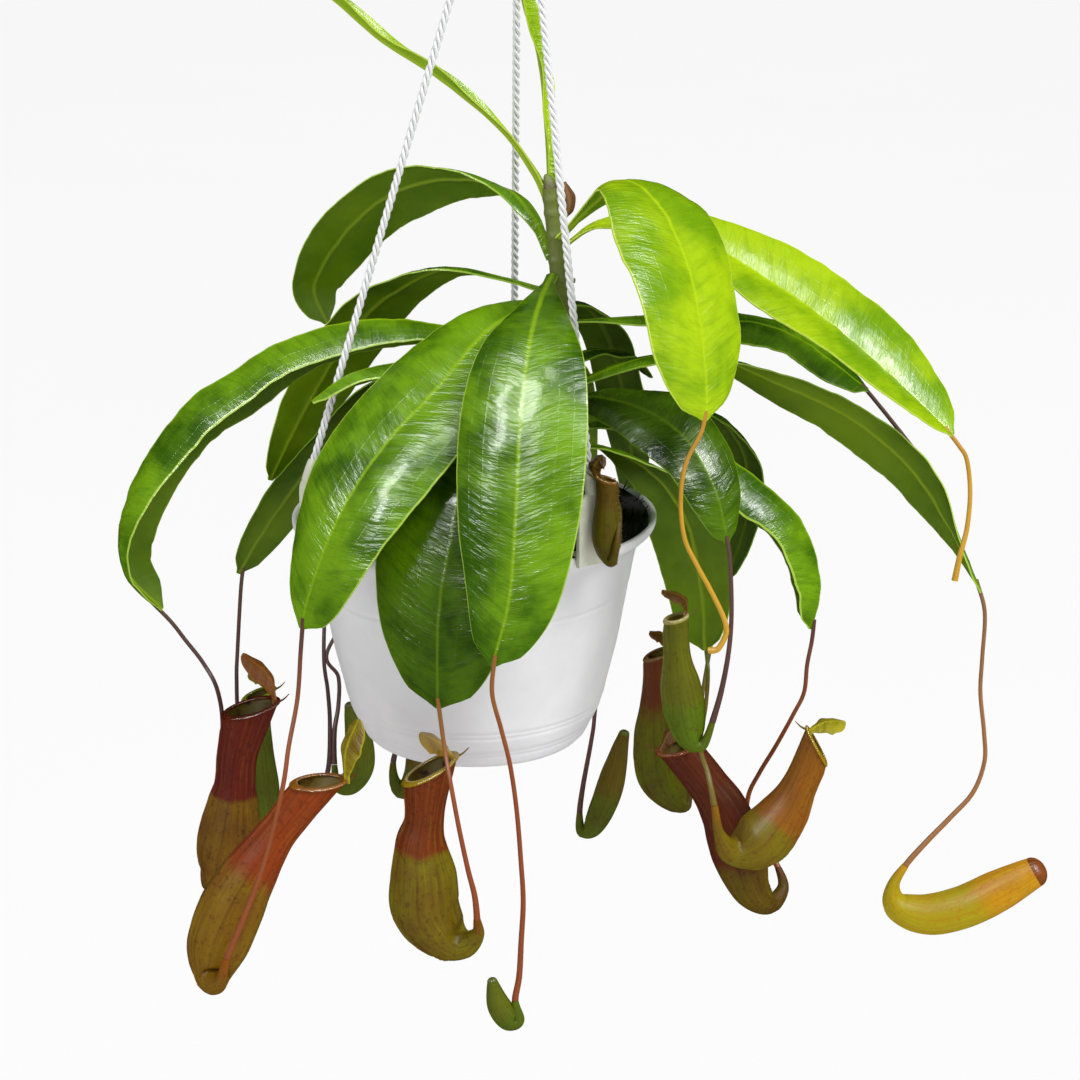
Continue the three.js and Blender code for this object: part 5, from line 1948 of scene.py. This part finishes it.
PITCHERS = {
    "pitcher_front_left": Pitcher(
        [[-117, -116, -188, 1.7], [-121, -112, -202, 3.2], [-126, -101, -207, 8], [-125, -94, -196, 14.2],
        [-119, -92, -178, 16], [-109, -91, -158, 13.8], [-96, -90, -138, 9.8], [-87, -90, -126, 9.2],
        [-73, -90, -108, 10]], "amber_red", leaf="leaf_front_left", slant=1.1, hollow=0.55, lid_half=10,
        lid=[[1, 2, 15], [7, 4, 30]]),
    "pitcher_front_low": Pitcher(
        [[3, -117, -167, 1.7], [3, -113, -177, 3.5], [-4, -107, -185, 7.5], [-13, -103, -182, 12.5],
        [-22, -101, -168, 16.5], [-23, -100, -152, 16], [-24, -100, -136, 12.3], [-22, -100, -121, 9.2],
        [-19, -100, -97, 12]], "brick", leaf="leaf_front_low", slant=0.7, hollow=0.55, lid_half=10,
        lid=[[-8, 2, 6], [-17, 2, 11]]),
    "pitcher_left": Pitcher(
        [[-144, 10, -199, 1.7], [-142, 6, -206, 3.2], [-135, -2, -198, 8], [-130, -8, -181, 14.5],
        [-127, -10, -169, 16], [-125, -10, -155, 13.5], [-123, -10, -141, 10.3], [-121, -10, -125, 10.2],
        [-114, -10, -101, 12.8]], "dark_red", leaf="leaf_left_long", slant=0.6, hollow=0.55, lid_half=10,
        lid=[[-4, 2, 13], [-17, 3, 25]]),
    "pitcher_left_back": Pitcher(
        [[-122, 88, -209, 1.6], [-119, 84, -214, 3], [-119, 80, -201, 6.5], [-120, 80, -184, 9.5],
        [-121, 80, -161, 8], [-122, 80, -144, 8], [-120, 80, -128, 8.5]], "lime", leaf="leaf_left_low",
        slant=0.5, hollow=0.5, lid_half=8, lid=[[-6, 2, 7], [-14, 3, 8]]),
    "pitcher_right_back": Pitcher(
        [[112, 24, -160, 1.6], [110, 21, -168, 3], [104, 20, -163, 8], [97, 20, -149, 13],
        [94, 20, -131, 12], [93, 20, -111, 7.5], [93, 20, -95, 6], [94, 20, -83, 7]], "red_neck",
        leaf="leaf_right_inner", slant=0.5, hollow=0.5, lid_half=7, lid=[[-4, 2, 7], [-11, 3, 9]]),
    "pitcher_right_front": Pitcher(
        [[116, -77, -82, 1.5], [113, -76, -92, 2.2], [110, -75, -95, 3.6], [106, -73, -91, 7],
        [103, -71, -79, 10], [101, -70, -66, 9.5], [99, -70, -51, 6.5], [98, -70, -32, 6]], "olive",
        leaf="leaf_right_front", slant=0.2, hollow=0.5, lid_half=6, lid=[[-1, 2, 8], [-12, 3, 12]]),
    "pitcher_right_red": Pitcher(
        [[158, 6, -197, 1.7], [160, -2, -205, 3.2], [152, -10, -210, 5.5], [142, -15, -199, 10],
        [135, -16, -178, 14], [128, -16, -157, 12.5], [118, -16, -140, 10.2], [103, -16, -120, 10]], "red",
        leaf="leaf_right_low", slant=0.5, to_lid=(-1, 0), hollow=0.55, lid_half=8, lid=[[6, 3, 10],
        [14, 4, 15]]),
    "pitcher_right_fork": Pitcher(
        [[119, -60, -133, 1.7], [122, -60, -149, 3], [129, -54, -160, 7.5], [142, -49, -157, 14.2],
        [154, -46, -144, 12.3], [162, -46, -128, 8.6], [170, -46, -107, 8.2]], "orange",
        leaf="leaf_right_hanging", slant=0.9, to_lid=(-1, 0), hollow=0.5, lid_half=10, lid=[[9, 2, 3],
        [19, 3, 3]]),
    "pitcher_rim": Pitcher(
        [[69, -84, 12, 1.5], [67, -82, 1, 2.4], [65, -79, 3, 4.5], [64, -78, 10, 6.4], [64, -78, 20, 6.2],
        [64, -78, 30, 4.8], [64, -78, 39, 5.2]], "small", slant=0.3, to_lid=(-1, 0), hollow=0.4,
        lid_half=5, lid=[[-1, 2, 5], [3, 3, 10]], wing=2.0, fringed=True, shoot=[[41, 0, 24],
        [54, -22, 30], [64, -50, 30], [70, -72, 24]]),
    "pitcher_far_right": Pitcher(
        [[223, -6, -190, 1.8], [217, -6, -202, 3.5], [220, -6, -213, 7.5], [235, -6, -218, 10.5],
        [254, -6, -214, 11], [273, -6, -204, 10.5], [290, -6, -194, 8]], "gold", leaf="leaf_right_long"),
    "pitcher_behind_pot": Pitcher(
        [[55, 86, -200, 1.6], [56, 84, -210, 3], [62, 82, -208, 5], [68, 80, -194, 7], [73, 80, -177, 7],
        [79, 80, -151, 3]], "brown_bud", leaf="leaf_back"),
    "pitcher_left_closed": Pitcher(
        [[-79, 70, -165, 1.6], [-77, 66, -176, 2.8], [-70, 62, -173, 6], [-64, 60, -161, 7.5],
        [-65, 60, -144, 7], [-69, 60, -127, 3]], "green_bud", leaf="leaf_back_low"),
    "pitcher_under_pot": Pitcher(
        [[-48, 88, -171, 1.6], [-47, 86, -182, 3.2], [-42, 84, -186, 5], [-36, 82, -178, 6],
        [-34, 80, -163, 6], [-33, 78, -151, 5]], "brown_bud", leaf="leaf_back_mid"),
    "pitcher_bud": Pitcher(
        [[21, -113, -212, 1.6], [22, -113, -222, 3.6], [18, -113, -222, 5.5], [13, -113, -214, 5.5],
        [10, -113, -202, 2.5]], "green_bud", leaf="leaf_front"),
}

LOOKS = {
    "amber_red": CupLook(((150, 60, 4), (134, 102, 0), (84, 32, 4), (158, 100, 16), (100, 42, 6),
        (176, 168, 6), (124, 96, 8)), line=0.65, soft=0.03),
    "brick": CupLook(((126, 52, 4), (122, 110, 0), (70, 28, 6), (170, 146, 18), (124, 82, 10),
        (160, 128, 12), (112, 76, 10)), line=0.735, soft=0.02),
    "dark_red": CupLook(((114, 34, 16), (130, 94, 0), (60, 14, 10), (116, 44, 14), (64, 16, 10),
        (154, 88, 6), (104, 50, 6)), line=0.69, soft=0.015),
    "lime": CupLook(((100, 96, 8), (86, 100, 4), (84, 56, 8), (150, 160, 22), (106, 116, 14),
        (122, 132, 14), (92, 92, 12)), line=0.8, slot="green_pitcher"),
    "red_neck": CupLook(((98, 46, 14), (92, 98, 0), (74, 32, 10), (120, 84, 20), (84, 36, 12),
        (112, 66, 12), (86, 46, 10)), line=0.69, slot="green_pitcher"),
    "olive": CupLook(((102, 104, 4), (88, 114, 2), (84, 66, 6), (186, 178, 92), (140, 112, 40),
        (116, 78, 16), (82, 50, 10)), line=0.62, slot="green_pitcher"),
    "red": CupLook(((100, 40, 16), (104, 84, 0), (60, 22, 8), (140, 70, 16), (80, 26, 8),
        (124, 84, 20), (90, 48, 12)), line=0.55, soft=0.04),
    "orange": CupLook(((150, 90, 4), (122, 110, 0), (104, 48, 6), (176, 150, 18), (140, 80, 10),
        (180, 172, 14), (140, 120, 10)), line=0.62, soft=0.035),
    "small": CupLook(((98, 76, 8), (94, 88, 2), (88, 52, 10), (150, 106, 30), (96, 50, 14),
        (120, 90, 18), (92, 58, 12)), line=0.8),
    "gold": CupLook(((208, 150, 2), (176, 160, 0), (186, 96, 2), (180, 150, 16), (140, 90, 10),
        (170, 84, 10), (120, 64, 8)), line=0.75, slot="pale_cup"),
    "brown_bud": CupLook(((98, 82, 10), (82, 96, 6), (72, 46, 8), (110, 96, 16), (84, 56, 8),
        (92, 98, 10), (74, 66, 8)), line=0.7, slot="green_pitcher"),
    "green_bud": CupLook(((94, 104, 8), (84, 106, 4), (88, 70, 8), (118, 122, 16), (92, 84, 10),
        (100, 110, 10), (80, 84, 8)), line=0.6, slot="green_pitcher"),
}


def write_size(before: tuple, after: tuple) -> None:
    """Gathers the box that the object fills before and after dressing into a table, which is not kept.

    Args:
        before: Lowest and highest corner with the plain model.
        after: The same with the dressed one.
    """
    sizes = {name: [list(corner) for corner in box] for name, box in (("before", before), ("after", after))}


def main() -> None:
    """Builds the whole scene."""
    logging.basicConfig(level=logging.INFO, format="%(message)s")
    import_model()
    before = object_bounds()
    paint = Paint()
    for part in (Studio(), Hanger(), Pot(), Soil(), Stem()):
        part.build()
    borne = {pitcher.leaf: pitcher.axis for pitcher in PITCHERS.values()}
    for name, leaf in LEAVES.items():
        leaf.build(name, borne.get(name, ()), paint)
    for name, pitcher in PITCHERS.items():
        pitcher.build(name, pitcher.shoot or LEAVES[pitcher.leaf].lead(), paint)
    write_size(before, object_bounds())


if __name__ == "__main__":
    main()
